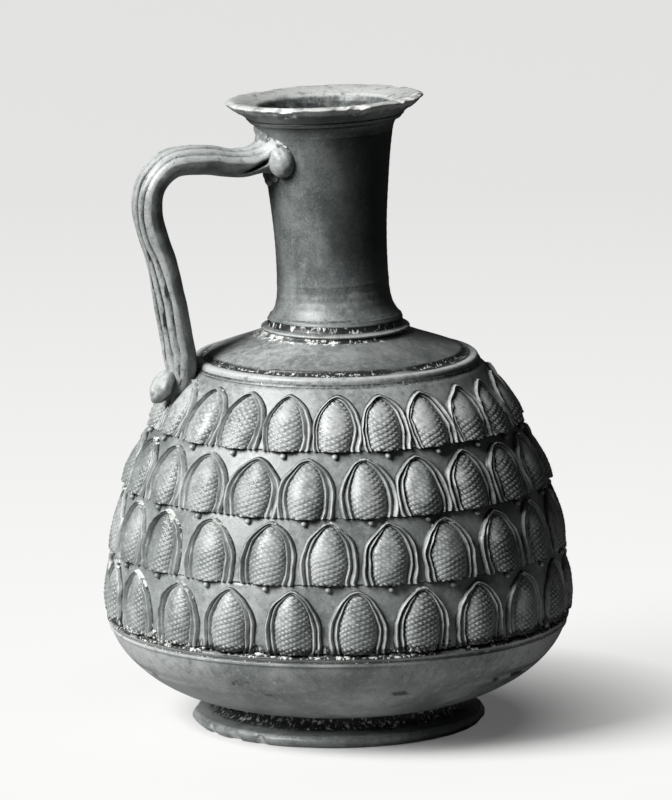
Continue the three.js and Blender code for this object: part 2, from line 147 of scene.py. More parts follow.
def curve_at(rows: np.ndarray, knots: np.ndarray, places: np.ndarray) -> np.ndarray:
    """Follows a smooth curve that passes through rows of values.

    Args:
        rows: The values, one row for each knot.
        knots: How far along the curve each row lies.
        places: How far along the curve to look.

    Returns:
        The values at the places, one row each.
    """
    k = np.clip(np.searchsorted(knots, places, side="right") - 1, 1, len(knots) - 3)
    knot = [knots[k + i][:, None] for i in (-1, 0, 1, 2)]
    values = [rows[k + i] for i in (-1, 0, 1, 2)]
    for spans in (((0, 1), (1, 2), (2, 3)), ((0, 2), (1, 3)), ((1, 2),)):
        shares = [(places[:, None] - knot[a]) / (knot[b] - knot[a]) for a, b in spans]
        values = [(1.0 - share) * p + share * q for share, p, q in zip(shares, values, values[1:])]
    return values[0]


class Template:
    """A potter's template: a half profile drawn point by point as radius and height."""

    def __init__(self, radius: float, height: float) -> None:
        """Starts the profile at a point."""
        self.points: list[tuple[float, float]] = [(radius, height)]

    def to(self, radius: float, height: float, swell: float = 0.0, steps: int = 6) -> Template:
        """Draws on to a point, straight or as a shallow arc.

        Args:
            radius: Radius of the end.
            height: Height of the end.
            swell: How far the arc stands out to the right of its run, or hollows in if negative.
            steps: Stretches that an arc has.

        Returns:
            The template itself.
        """
        r0, z0 = self.points[-1]
        if swell == 0.0:
            self.points.append((radius, height))
            return self
        dr, dz = radius - r0, height - z0
        length = math.hypot(dr, dz)
        for t in (i / steps for i in range(1, steps + 1)):
            out = 4.0 * t * (1.0 - t) * swell / length
            self.points.append((r0 + dr * t + dz * out, z0 + dz * t - dr * out))
        return self

    def run(self, start: tuple[float, float], *stops: tuple[float, ...]) -> Template:
        """Draws on through stops that are all measured from one place.

        Args:
            start: Radius and height of that place.
            stops: Radius and height of each stop from there, then the swell and steps of its arc, if any.

        Returns:
            The template itself.
        """
        for across, up, *arc in stops:
            self.to(start[0] + across, start[1] + up, *arc)
        return self

    def sweep(self, *handles: tuple[float, float], steps: int = 14) -> Template:
        """Draws a cubic curve to the last of three handles.

        Args:
            handles: The two guide points and the end, as radius and height.
            steps: Stretches that the curve has.

        Returns:
            The template itself.
        """
        corners = (self.points[-1], *handles)
        for t in (i / steps for i in range(1, steps + 1)):
            s = 1.0 - t
            weights = (s * s * s, 3 * s * s * t, 3 * s * t * t, t * t * t)
            self.points.append(tuple(sum(w * p[k] for w, p in zip(weights, corners)) for k in (0, 1)))
        return self

    def follow(self, radius_at: Callable[[float], float], heights: Sequence[float]) -> Template:
        """Draws through the heights at the radius that a function gives for each."""
        self.points.extend((radius_at(z), z) for z in heights)
        return self

    def closed(self) -> list[tuple[float, float]]:
        """Returns the points of the profile, which ends where it starts unless that is on the axis."""
        return self.points + self.points[:1] * (self.points[0][0] > 0.0)


def start_piece(name: str) -> Piece:
    """Names the primitive that was just added and returns it."""
    piece = bpy.context.object
    piece.name = piece.data.name = name
    return piece


def clear_selection() -> None:
    """Deselects every object."""
    bpy.ops.object.select_all(action="DESELECT")


def pick(*pieces: Piece) -> None:
    """Makes the pieces the only ones selected, and the last of them active."""
    clear_selection()
    for piece in pieces:
        piece.select_set(True)
    bpy.context.view_layer.objects.active = pieces[-1]


def sheet(name: str, across: int, up: int, size: float) -> Piece:
    """Rolls out a square sheet of clay.

    Args:
        name: Name of the new piece.
        across: Facets across it.
        up: Facets up it.
        size: Length of its sides in metres.

    Returns:
        The new piece.
    """
    clear_selection()
    bpy.ops.mesh.primitive_grid_add(x_subdivisions=across, y_subdivisions=up, size=size)
    return start_piece(name)


def values_of(items: Any, key: str, width: int) -> np.ndarray:
    """Reads a property of each item of a mesh, one row each."""
    flat = np.empty(len(items) * width, np.float32)
    items.foreach_get(key, flat)
    return flat.reshape(-1, width).astype(float)


def points_of(piece: Piece) -> Points:
    """Returns the piece's points in millimetres, one row each."""
    return values_of(piece.data.vertices, "co", 3) / MM


def set_points(piece: Piece, points: Points) -> None:
    """Moves the piece's points to places given in millimetres."""
    piece.data.vertices.foreach_set("co", (points * MM).astype(np.float32).ravel())
    piece.data.update()


def set_coats(piece: Piece, **shares: np.ndarray | float) -> None:
    """Writes how much of each named coat lies at each point of a piece.

    Args:
        piece: The piece.
        shares: For a coat's name, one share for each point or one for all.
    """
    layers = piece.data.attributes
    for name, share in shares.items():
        kind = Coat(name).value
        layer = layers.get(kind) or layers.new(kind, "FLOAT", "POINT")
        filled = np.clip(share, 0.0, 1.0) + np.zeros(len(piece.data.vertices))
        layer.data.foreach_set("value", filled.astype(np.float32))


def join(base: Piece, parts: Sequence[Piece]) -> Piece:
    """Joins parts onto a base piece and returns it."""
    pick(*parts, base)
    bpy.ops.object.join()
    return bpy.context.object


def duplicate(piece: Piece) -> Piece:
    """Copies a piece with its mesh into the scene and returns the copy."""
    copy = piece.copy()
    copy.data = piece.data.copy()
    bpy.context.collection.objects.link(copy)
    return copy


def start_edit(mode: str) -> None:
    """Opens the active piece for editing by its points, edges or faces, with none of them selected."""
    bpy.ops.object.mode_set(mode="EDIT")
    bpy.ops.mesh.select_mode(type=mode)
    bpy.ops.mesh.select_all(action="DESELECT")


def end_edit() -> None:
    """Turns all faces of the edited piece outward and leaves it."""
    bpy.ops.mesh.select_all(action="SELECT")
    bpy.ops.mesh.normals_make_consistent(inside=False)
    bpy.ops.object.mode_set(mode="OBJECT")


def spin_profile(name: str, profile: Template, steps: int) -> Piece:
    """Spins a half profile round Z, as a turned piece grows on the wheel.

    Args:
        name: Name of the new piece.
        profile: The template of its section.
        steps: Facets round the piece.

    Returns:
        The new piece.
    """
    clear_selection()
    bpy.ops.mesh.primitive_plane_add(size=MM)
    piece = start_piece(name)
    bpy.ops.object.mode_set(mode="EDIT")
    bpy.ops.mesh.merge(type="CENTER")
    last = (0.0, 0.0)
    for index, (radius, height) in enumerate(profile.closed()):
        step = ((radius - last[0]) * MM, 0.0, (height - last[1]) * MM)
        if index == 0:
            bpy.ops.transform.translate(value=step)
        else:
            bpy.ops.mesh.extrude_region_move(TRANSFORM_OT_translate={"value": step})
        last = (radius, height)
    bpy.ops.mesh.select_all(action="SELECT")
    bpy.ops.mesh.spin(steps=steps, angle=2 * math.pi, center=(0, 0, 0), axis=(0, 0, 1))
    bpy.ops.mesh.select_all(action="SELECT")
    bpy.ops.mesh.remove_doubles(threshold=0.002 * MM)
    end_edit()
    return piece


def smooth(piece: Piece, angle: float = 50.0) -> Piece:
    """Shades a piece smooth where its faces meet at less than an angle in degrees, and returns it."""
    pick(piece)
    bpy.ops.object.shade_smooth_by_angle(angle=math.radians(angle))
    return piece


def finish_piece(piece: Piece, material: bpy.types.Material, slot: Slot, node: str) -> None:
    """Dresses a piece and ties it to the CAD frame.

    Args:
        piece: The finished mesh.
        material: Its finish.
        slot: The record's slot that the finish belongs to. It is not used.
        node: The CAD node that it stands for.
    """
    piece.data.materials.clear()
    piece.data.materials.append(material)
    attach(piece, BODY)
    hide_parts(node)
    log.info("%s: %d faces", piece.name, len(piece.data.polygons))


# Sizes that come from the CAD frame


@lru_cache(maxsize=None)
def span(node: str, axis: int) -> tuple[float, float]:
    """Returns the lowest and highest place of a CAD node along an axis, in millimetres."""
    low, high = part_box(node)
    return low[axis] / MM, high[axis] / MM


def measured(node: str, axis: int, end: int) -> Any:
    """Makes a field whose value is one end of a CAD node."""
    return field(default_factory=lambda: span(node, axis)[end])


@dataclass(frozen=True)
class Wall:
    """The plain wall of the belly, widest low down and drawn in towards the shoulder."""

    belt_skin: float = 2.0
    slip_seam: float = 0.3
    belly_height: float = 36.0
    waist_radius: float = 33.0
    foot_height: float = measured("foot_ring", UP, HIGH)
    foot_radius: float = measured("foot_ring", ACROSS, HIGH)
    bowl_height: float = measured("bowl", UP, HIGH)
    shoulder_height: float = measured("shoulder", UP, LOW)
    shoulder_radius: float = measured("shoulder", ACROSS, HIGH)
    collar_seat: float = measured("shoulder", UP, HIGH)
    drum_radius: float = measured("drum", ACROSS, HIGH)

    def radius(self, z: np.ndarray | float) -> np.ndarray | float:
        """Radius of the plain wall at a height."""
        widest = self.drum_radius + self.belt_skin + self.slip_seam
        share = (z - self.belly_height) / (self.shoulder_height - self.belly_height)
        return widest - (widest - self.shoulder_radius) * share * share

    def steep(self, z: np.ndarray) -> np.ndarray:
        """How much longer a step along the wall is than its height."""
        return np.hypot(1.0, self.radius(z + 0.5) - self.radius(z - 0.5))


@dataclass(frozen=True)
class Lean:
    """The lean of the neck and lip to the left and to the back."""

    pivot_height: float
    left: float = 2.0
    back: float = 1.8

    def matrix(self) -> Matrix:
        """The lean as one rigid turn, in millimetres."""
        pivot = Vector((0.0, 0.0, self.pivot_height))
        back = Matrix.Rotation(-math.radians(self.back), 4, "X")
        left = Matrix.Rotation(-math.radians(self.left), 4, "Y")
        return Matrix.Translation(pivot) @ (back @ left) @ Matrix.Translation(-pivot)

    def apply(self, points: Points) -> Points:
        """Leans points given in millimetres."""
        m = np.array(self.matrix())
        return points @ m[:3, :3].T + m[:3, 3]


@dataclass(frozen=True)
class Hand:
    """The unevenness that the potter's hands leave in the whole body."""

    amount: float = 0.22

    def apply(self, points: Points) -> Points:
        """Moves points in and out by a little, the same for every piece of the body."""
        uneven = ripple(points, 11, 60.0) + 0.35 * ripple(points, 12, 17.0)
        return push(points, self.amount * uneven * ease(polar(points)[0] / 14.0))

    def throw(self, name: str, profile: Template, facets: int) -> tuple[Piece, Points]:
        """Turns a piece and leaves the hands' unevenness in it.

        Args:
            name: Name of the new piece.
            profile: The template of its section.
            facets: Facets round the piece.

        Returns:
            The new piece and its points.
        """
        piece = spin_profile(name, profile, facets)
        points = self.apply(points_of(piece))
        set_points(piece, points)
        return piece, points


# Finishes


def linear(hex_code: str) -> tuple[float, float, float, float]:
    """Turns an sRGB hex value into the linear colour that a node takes."""
    values = [int(hex_code[i : i + 2], 16) / 255 for i in (1, 3, 5)]
    return (*(v / 12.92 if v <= 0.04045 else ((v + 0.055) / 1.055) ** 2.4 for v in values), 1.0)


def empty_tree(owner: Any) -> bpy.types.NodeTree:
    """Gives a new material or world an empty node tree and returns the tree."""
    owner.use_nodes = True
    owner.node_tree.nodes.clear()
    return owner.node_tree


def add_node(tree: bpy.types.NodeTree, kind: str, inputs: dict[str | int, Any], **settings: Any) -> Any:
    """Adds a shader node with its settings, values and links.

    Args:
        tree: The node tree.
        kind: The node's type without the words that all types start with.
        inputs: For each input, a value or the output socket to link it to.
        settings: The node's own settings.

    Returns:
        The new node.
    """
    node = tree.nodes.new("ShaderNode" + kind)
    for name, value in settings.items():
        setattr(node, name, value)
    for key, value in inputs.items():
        if isinstance(value, Socket):
            tree.links.new(value, node.inputs[key])
        else:
            node.inputs[key].default_value = value
    return node


def add_range(tree: bpy.types.NodeTree, value: Any, *ends: float, how: str = "LINEAR") -> Socket:
    """Adds a node that maps a value from one range to another.

    Args:
        tree: The node tree.
        value: The value to map.
        ends: The ends of the first range and of the second.
        how: How it goes from end to end.

    Returns:
        The socket with the result.
    """
    inputs = dict(zip(("From Min", "From Max", "To Min", "To Max"), ends), Value=value)
    return add_node(tree, "MapRange", inputs, interpolation_type=how).outputs["Result"]


class Palette:
    """Short ways to draw patterns and mix colours in a node tree. Each returns the socket with its result."""

    def __init__(self, tree: bpy.types.NodeTree) -> None:
        """Starts in an empty tree, from the place of the seen point."""
        self.tree = tree
        self.place = add_node(tree, "TexCoord", {}).outputs["Object"]

    def noise(self, size: float, detail: float, rough: float, where: Socket | None = None) -> Socket:
        """Cloudy noise with patches of about a size in millimetres."""
        inputs = {"Vector": where or self.place, "Scale": 1.0 / (size * MM)}
        inputs.update(Detail=detail, Roughness=rough)
        return add_node(self.tree, "TexNoise", inputs).outputs["Fac"]

    def ramp(self, value: Any, low: float, high: float, start: float = 0.0, end: float = 1.0) -> Socket:
        """Goes smoothly from start to end as a value goes from low to high."""
        return add_range(self.tree, value, low, high, start, end, how="SMOOTHSTEP")

    def blend(self, share: Any, first: Any, second: Any) -> Socket:
        """Mixes the second colour into the first."""
        return add_node(self.tree, "Mix", {0: share, 6: first, 7: second}, data_type="RGBA").outputs[2]

    def sums(self, how: str, first: Any, second: Any) -> Socket:
        """Does one sum with two values."""
        return add_node(self.tree, "Math", {0: first, 1: second}, operation=how).outputs[0]

    def plus(self, first: Any, second: Any) -> Socket:
        """Adds two values."""
        return self.sums("ADD", first, second)

    def times(self, first: Any, second: Any) -> Socket:
        """Multiplies two values."""
        return self.sums("MULTIPLY", first, second)

    def around(self, value: Any, amount: float) -> Socket:
        """The swing of a value round one half, times an amount."""
        return self.times(self.sums("SUBTRACT", value, 0.5), amount)

    def coat(self, kind: Coat) -> Socket:
        """Reads how much of a coat lies at the seen point."""
        return add_node(self.tree, "Attribute", {}, attribute_name=kind.value).outputs["Fac"]

    def dots(self, size: float, how_many: float, radius: float) -> Socket:
        """Strews soft dots in a share of the cells of a size in millimetres."""
        cells = add_node(self.tree, "TexVoronoi", {"Vector": self.place, "Scale": 1.0 / (size * MM)})
        chosen = self.sums("GREATER_THAN", cells.outputs["Color"], 1.0 - how_many)
        return self.times(self.ramp(cells.outputs["Distance"], radius, radius * 0.4), chosen)


@dataclass(frozen=True)
class LeadGlaze:
    """Lead-glazed earthenware, dipped and fired, then long buried.

    The glass is satin now. It pooled dark in the hollows, wore thin on the ridges, darkened in the smoke, and
    holds lime and soil, which are chalky. Its dark pool colour also paints shade in recesses, under ledges and
    on the side away from the lamp, and its thin glaze colour paints light on some lit faces. Colours are sRGB
    hex values and grain sizes millimetres.
    """

    name: str
    deep: str = "#626766"
    middle: str = "#8b8f8e"
    pale: str = "#b0b3b1"
    dark_pool_and_shade: str = "#1d2020"
    lime: str = "#dedfdb"
    clay: str = "#c6c7c5"
    thin: str = "#bcbfbd"
    gloss: float = 0.34
    dull: float = 0.5
    cloud: float = 15.0
    mottle: float = 1.9
    grain: float = 0.5
    speck: float = 3.4
    relief: float = 0.1

    def make(self) -> bpy.types.Material:
        """Builds the material's nodes and returns the finished material."""
        material = bpy.data.materials.new(self.name)
        mix = Palette(empty_tree(material))
        ramp, coat, around, plus, times = mix.ramp, mix.coat, mix.around, mix.plus, mix.times
        stretch = {"Vector": mix.place, "Scale": (1.0, 1.0, 0.32)}
        upright = add_node(mix.tree, "Mapping", stretch).outputs["Vector"]
        clouds = mix.noise(self.cloud, 5.0, 0.62)
        mottles = mix.noise(self.mottle, 5.0, 0.62)
        grains = mix.noise(self.grain, 2.0, 0.6)
        streaks = mix.noise(self.grain * 1.9, 3.0, 0.65, upright)

        # The pale worn layer: thinner glaze, with painted light where lit faces were made paler.
        worn = plus(coat(Coat.THIN_AND_LIT), around(mottles, 0.9))
        pits = times(mix.dots(self.speck * 0.7, 0.3, 0.13), ramp(clouds, 0.6, 0.4))
        dusty = ramp(plus(clouds, around(grains, 0.5)), 0.48, 0.6)
        specks = times(mix.dots(self.speck, 0.16, 0.17), dusty)
        # The dark pool layers: deposits and pooled glaze, with painted shade in recesses and on the side away
        # from the lamp.
        hollow = plus(coat(Coat.DEPOSIT_AND_SHADE), around(plus(mottles, around(streaks, 0.6)), 1.0))
        smoke = times(coat(Coat.SMOKE_AND_SHADE), ramp(clouds, 0.2, 0.75, 0.85, 1.0))
        crust = times(ramp(coat(Coat.CRUST), 0.03, 0.25), plus(coat(Coat.CRUST), around(streaks, 2.6)))
        lime = ramp(crust, 0.42, 0.72)
        bare = ramp(plus(coat(Coat.BARE), around(mottles, 0.6)), 0.42, 0.62)
        layers = (
            (ramp(clouds, 0.3, 0.6), self.middle),
            (ramp(clouds, 0.5, 0.74, 0.0, 0.7), self.pale),
            (ramp(worn, 0.2, 0.95, 0.0, 0.9), self.thin),
            (ramp(mottles, 0.52, 0.74, 0.0, 0.5), self.pale),
            (ramp(mottles, 0.46, 0.28, 0.0, 0.6), self.deep),
            (ramp(grains, 0.5, 0.75, 0.0, 0.2), self.thin),
            (ramp(grains, 0.48, 0.28, 0.0, 0.34), self.dark_pool_and_shade),
            (times(pits, 0.75), self.dark_pool_and_shade),
            (times(specks, 0.8), self.lime),
            (ramp(hollow, 0.3, 0.78, 0.0, 0.95), self.dark_pool_and_shade),
            (smoke, self.dark_pool_and_shade),
            (lime, self.lime),
        )
        tone = linear(self.deep)
        for share, colour in layers:
            tone = mix.blend(share, tone, linear(colour))
        broken = mix.blend(ramp(grains, 0.35, 0.65), linear(self.clay), linear(self.lime))
        tone = mix.blend(bare, tone, broken)

        glass = ramp(plus(mottles, around(clouds, 1.2)), 0.35, 0.7, self.gloss, self.dull)
        dull = plus(glass, times(mix.sums("MAXIMUM", lime, bare), 0.35))
        height = plus(times(mottles, 0.55), times(grains, 0.28))
        height = mix.sums("SUBTRACT", height, times(pits, 0.6))
        height = plus(height, times(times(streaks, lime), 1.6))
        relief = {"Height": height, "Distance": self.relief * MM, "Strength": 0.9}
        bump = add_node(mix.tree, "Bump", relief).outputs["Normal"]
        surface = {"Base Color": tone, "Roughness": dull, "Normal": bump, "IOR": 1.55}
        shader = add_node(mix.tree, "BsdfPrincipled", surface)
        add_node(mix.tree, "OutputMaterial", {"Surface": shader.outputs[0]})
        return material


# Turned pieces


@dataclass
class FootRing:
    """The low spreading foot, with a rounded edge band, a sloping ledge and a narrow waist."""

    wall: Wall
    edge_height: float = 3.5
    facets: int = 300
    chips: Table = ((-62.0, 1.1), (-47.0, 1.5), (-33.0, 1.0), (18.0, 0.5), (140.0, 1.2))

    def build(self) -> Piece:
        """Turns the ring, chips its edge, marks what lies on it and paints shade in its waist and on its right.
        """
        rim, top, waist = self.wall.foot_radius, self.wall.foot_height, self.wall.waist_radius
        profile = Template(rim - 6.8, 0.0).run((rim, 0.0), (-1.9, 0.0), (-0.5, 0.8, 0.2), (-0.35, 2.9, 0.55))
        profile.run((rim, self.edge_height), (-1.1, 0.0, 0.12), (-3.6, 0.25, -0.1))
        profile.sweep((rim - 5.4, 3.9), (waist + 0.4, 4.6), (waist, top + 2.1), steps=10)
        profile.to(waist - 4.5, top + 2.1).to(waist - 3.0, 2.4, 0.6)
        piece = spin_profile("foot_ring_glazed", profile, self.facets)
        points = points_of(piece)
        out, z, turn = polar(points)
        bite = np.zeros(len(points))
        for place, size in self.chips:
            near = (turn - place) / (size * 2.4)
            depth = np.clip(1.0 - near**2 - ((z - 0.7) / 2.1) ** 2, 0.0, 1.0)
            bite = np.maximum(bite, size * 0.75 * depth**0.5 * (out > rim - 2.4))
        uneven = 0.22 * ripple(points, 21, 9.0) * ease((out - rim + 3.0) / 2.0)
        set_points(piece, push(points, uneven - bite))
        # Painted shade: the waist under the bowl is darkened where the bowl's overhang shades it.
        shade = ease((waist + 4.2 - out) / 3.0) * ease((z - 2.4) / 0.8)
        ledge = 0.35 * band(out, rim - 3.0, 1.3) * (z > 2.6)
        broken = ease(bite * 1.5)
        set_coats(
            piece,
            hollow=0.9 * shade + 0.5 * band(z, 0.0, 0.7) + ledge,
            # Smoke stain and painted shade darken the ring's right side, away from the lamp.
            smoke=0.5 * band(turn, 55.0, 44.0),
            crust=0.32 * shade,
            bare=0.42 * broken + 0.3 * band(z, 0.0, 0.5),
            thin=0.7 * broken + 0.4 * band(out, rim - 2.0, 1.6) * (z > 2.0),
        )
        return smooth(piece)


@dataclass
class Bowl:
    """The plain lower body with its double bead border."""

    wall: Wall
    hand: Hand
    thickness: float = 5.0
    border_height: float = 3.9
    facets: int = 300

    def crumbs(
        self, count: int, height: float, spread: float, out_at: Callable[[float], float], pale: float
    ) -> list[Piece]:
        """Packs crumbs of soil and lime into a joint.

        Args:
            count: How many crumbs lie in the joint.
            height: Height of the joint.
            spread: How far the crumbs stray from it.
            out_at: The distance from the axis where a crumb of a given height lies.
            pale: The share of them that is lime.

        Returns:
            The crumbs, to be joined with the bowl.
        """
        clear_selection()
        bpy.ops.mesh.primitive_ico_sphere_add(subdivisions=1, radius=MM, location=(0, 0, 0))
        crumb = start_piece("crumb")
        ball = points_of(crumb)
        rng = random.Random(60 + count)
        crumbs = [duplicate(crumb) for _ in range(count)]
        for index, copy in enumerate(crumbs):
            degrees, size = rng.uniform(-180.0, 180.0), rng.uniform(0.22, 0.62)
            place = height + max(-2.0 * spread, rng.gauss(0.0, spread))
            shape = ball * np.array([size * rng.uniform(0.9, 2.2), size * 0.8, size])
            shape *= (1.0 + 0.2 * ripple(ball, 600 + index, 1.6))[:, None]
            turn = Matrix.Rotation(math.radians(degrees), 3, "Z")
            shape = (shape + np.array([0.0, -out_at(place), 0.0])) @ np.array(turn).T
            set_points(copy, self.hand.apply(shape + np.array([0.0, 0.0, place])))
            lime = rng.random() < pale + 0.3 * band(degrees, -62.0, 45.0)
            soil_and_shade = 0.0 if lime else rng.uniform(0.6, 1.2)
            set_coats(copy, hollow=soil_and_shade, bare=rng.uniform(0.45, 0.7) if lime else 0.0)
        bpy.data.objects.remove(crumb)
        return crumbs

    def build(self) -> Piece:
        """Turns the bowl, marks its soot, lime and pooled glaze, darkens it near the foot, paints light at left
        and right.
        """
        foot, top, waist = self.wall.foot_height, self.wall.bowl_height, self.wall.waist_radius
        rim = self.wall.radius(top)
        low, inner = top - self.border_height, rim - self.thickness
        profile = Template(0.0, foot).run((waist, foot), (-4.0, 0.0), (-1.0, 1.4), (0.6, 1.9, 0.1))
        bulge = (rim - 3.6, foot + (low - foot) * 0.46)
        profile.sweep((waist + 9.6, foot + 3.0), bulge, (rim + 0.5, low), steps=30)
        beads = ((1.0, 0.75, 0.22), (0.75, 1.15, -0.16), (0.9, 1.6, -0.12), (0.55, 3.2, 0.85, 9))
        profile.run((rim, low), *beads)
        profile.to(rim - 0.4, top + 0.3, -0.12).to(inner, top)
        profile.sweep((inner - 0.6, top - 12.0), (inner - 16.0, foot + 6.2), (26.0, foot + 4.8))
        profile.to(0.0, foot + 4.8)
        piece, points = self.hand.throw("bowl_glazed", profile, self.facets)
        out, z, turn = polar(points)
        outside = ease((out - inner - 1.0) / 1.0 + (z < 20) * 3.0)
        seam = band(z, top + 0.1, 0.8) + 0.8 * band(z, low + 1.3, 0.35) + 0.5 * band(z, low - 0.2, 0.3)
        # Darker towards the foot, where the bowl meets the foot ring.
        joint = ease((foot + 5.4 - z) / 2.2)
        smudge = 0.8 * ease((ripple(points * [1.0, 1.0, 2.2], 31, 12.0) - 0.75) / 0.35) * band(z, 18.0, 6.0)
        patch = ease((ripple(points, 34, 8.0) + 0.7) / 0.8)
        packed = ease((z - low - 2.0) / 0.6) * (0.45 + 0.55 * patch)
        set_coats(
            piece,
            hollow=outside * (0.75 * seam + 0.8 * joint + smudge + 0.9 * packed),
            crust=outside * (0.42 * packed * patch + 0.3 * band(z, low + 1.3, 0.3) + 0.2 * joint),
            # Painted light: paler bands on the left, towards the lamp, and on the right, where light reflected
            # from the floor falls.
            thin=outside * (0.14 + 0.7 * band(turn, -72.0, 34.0) + 0.9 * band(turn, 74.0, 30.0)),
            bare=0.0,
        )
        border = self.crumbs(
            420, top + 0.35, 0.75, lambda z: self.wall.radius(z) + (0.45 if z > top else 0.8), 0.22
        )
        joint_crumbs = self.crumbs(150, foot + 0.3, 0.7, lambda z: waist + 0.3, 0.4)
        return smooth(join(piece, border + joint_crumbs))


@dataclass
class Shoulder:
    """The convex dome between the belts and the collar, with a groove and a ridge round its edge."""

    wall: Wall
    hand: Hand
    facets: int = 300

    def build(self) -> Piece:
        """Turns the dome, fills its groove with lime and soil, paints shade on its right and light on its left.
        """
        edge, low, top = self.wall.shoulder_radius, self.wall.shoulder_height, self.wall.collar_seat
        ridge, groove = edge - 1.2, edge - 4.2
        profile = Template(edge + 0.1, low - 0.6).run((edge, low), (-0.3, 0.25), (-0.8, 0.55, -0.22))
        profile.to(ridge - 1.6, low + 2.5, 0.85, steps=10)
        profile.run((groove, low), (0.5, 2.45, -0.12), (-1.3, 3.75, -0.3))
        profile.sweep((groove - 6.0, low + 5.6), (25.0, top - 1.6), (21.0, top + 0.4), steps=22)
        profile.to(12.0, top + 0.4).to(12.0, top - 3.0)
        profile.sweep((22.0, top - 4.4), (30.0, low + 1.2), (edge - 5.0, low - 0.6), steps=10)
        piece, points = self.hand.throw("shoulder_glazed", profile, self.facets)
        out, z, _ = polar(points)
        outside = (values_of(piece.data.vertices, "normal", 3)[:, 2] > -0.4) * (out > 14.0)
        left = 0.5 - 0.5 * points[:, 0] / edge
        cut = band(out, groove - 0.2, 1.1) * (z > low + 1.5)
        under = band(z, low + 0.5, 0.3) * (z < low + 1.2)
        collar = ease((22.4 + 1.5 * left - out) / 1.5)
        patch = ease((ripple(points, 33, 26.0) + 1.0) / 0.8)
        crumbs = 0.8 + 0.6 * ripple(points, 36, 2.6)
        set_coats(
            piece,
            # Near the collar the dome is darker towards the right, with more lime towards the left.
            hollow=outside * (1.5 * cut * patch + 0.8 * under + 0.8 * collar * (1.1 - left)),
            # Painted shade on the dome's right side, away from the lamp.
            smoke=outside * 0.46 * ease((0.66 - left) / 0.36) * ease((ridge - 3.0 - out) / 1.5),
            crust=outside * (0.42 * cut * patch + (0.2 + 0.5 * left) * collar * crumbs + 0.1 * under),
            # Painted light: the left of the dome is paler, where the strap's cast shadow falls.
            thin=outside * (0.8 * band(out, ridge - 0.6, 0.8) + 0.2 + 0.4 * left**2),
        )
        return smooth(piece)


@dataclass
class Collar:
    """The turned ring that hides the joint of the neck and the shoulder."""

    wall: Wall
    hand: Hand
    crest: float = 20.4
    facets: int = 220

    def build(self) -> Piece:
        """Turns the ring and packs its two grooves with lime and soil."""
        low = self.wall.collar_seat
        rings = ((0.7, 0.5, -0.1), (-0.3, 1.15, -0.12), (0.25, 1.7, 0.1), (-0.1, 2.15, 0.1))
        slope = ((-1.35, 2.6, -0.1), (-1.75, 4.2, -0.1), (-2.0, 4.9, 0.06), (-2.3, 5.3, 0.05))
        profile = Template(22.2, low - 0.3).run((self.crest, low), *rings, *slope)
        profile.to(12.0, low + 5.3).to(12.0, low - 0.3)
        piece, points = self.hand.throw("neck_collar_glazed", profile, self.facets)
        out, z, _ = polar(points)
        left = 0.5 - 0.5 * points[:, 0] / 21.0
        upper = ease((z - low - 2.4) / 0.3) * ease((low + 4.5 - z) / 0.4)
        lower = ease((low + 1.5 - z) / 0.4)
        crumbs = 0.7 + 0.5 * ripple(points, 35, 3.0)
        set_coats(
            piece,
            # The lower groove is darker towards the right and has more lime towards the left.
            hollow=(out > 14.0) * (1.2 * upper + lower * (1.1 - 0.7 * left)),
            crust=(out > 14.0) * crumbs * ((0.4 + 0.25 * left) * upper + lower * (0.3 + 0.6 * left)),
            thin=(out > 14.0) * 0.75 * band(z, low + 1.95, 0.4),
        )
        return smooth(piece)


@dataclass
class Neck:
    """The slender thrown neck, flared at its foot and towards the lip."""

    lean: Lean
    hand: Hand
    radius: float = 15.3
    length: float = 51.0
    foot_flare: float = 2.7
    foot_curl: float = 3.0
    top_flare: float = 3.3
    bore: float = 12.0
    facets: int = 220

    @property
    def seat(self) -> float:
        """Height of the neck's foot."""
        return span("neck", UP)[LOW]

    def outer(self, z: float) -> float:
        """Outer radius of the upright neck at a height."""
        foot = self.foot_flare * math.exp(-(z - self.seat) / self.foot_curl)
        share = max(0.0, (z - self.seat - self.length * 0.3) / (self.length * 0.7))
        return self.radius + foot + self.top_flare * share**1.7

    def build(self) -> Piece:
        """Turns the neck with faint wheel marks, leans it, and paints shade on its right and light on its foot.
        """
        seat, top, bore = self.seat, self.seat + self.length, self.bore
        low = [seat - 0.6 + 0.35 * i for i in range(30)]
        high = [low[-1] + (top + 0.6 - low[-1]) * i / 46 for i in range(1, 47)]
        profile = Template(bore, seat - 0.6).follow(self.outer, low + high)
        profile.to(bore + 1.4, top + 0.6).to(bore, top - 9.0)
        piece = spin_profile("neck_glazed", profile, self.facets)
        points = points_of(piece)
        out, z, _ = polar(points)
        waves = 0.03 * np.sin(z * 2 * math.pi / 2.3 + 0.8 * np.sin(z / 5.0))
        marks = waves + 0.16 * band(z, seat + 9.2, 0.35)
        points = self.hand.apply(self.lean.apply(push(points, marks * (out > bore + 1.6))))
        set_points(piece, points)
        # Smoke stain and painted shade darken the neck's right side, away from the lamp.
        patch, turn = ripple(points, 44, 9.0), polar(points)[2]
        right = ease((turn + 54.0 + 9.0 * patch) / 74.0) * ease((135.0 - turn) / 30.0)
        smoke = right * ease((z - seat - 6.0) / 14.0)
        set_coats(
            piece,
            hollow=0.6 * band(z, seat - 0.1, 0.5) + 0.3 * band(z, seat + 9.6, 0.3),
            smoke=0.74 * np.maximum(smoke, 0.0) ** 1.4 * (out > bore + 1.4),
            crust=0.16 * band(z, seat, 0.3) * (out > bore + 1),
            # Painted highlight: paler glaze round the flared foot.
            thin=(0.22 + 0.14 * patch) * ease((seat + 10.0 - z) / 4.0),
        )
        return smooth(piece)


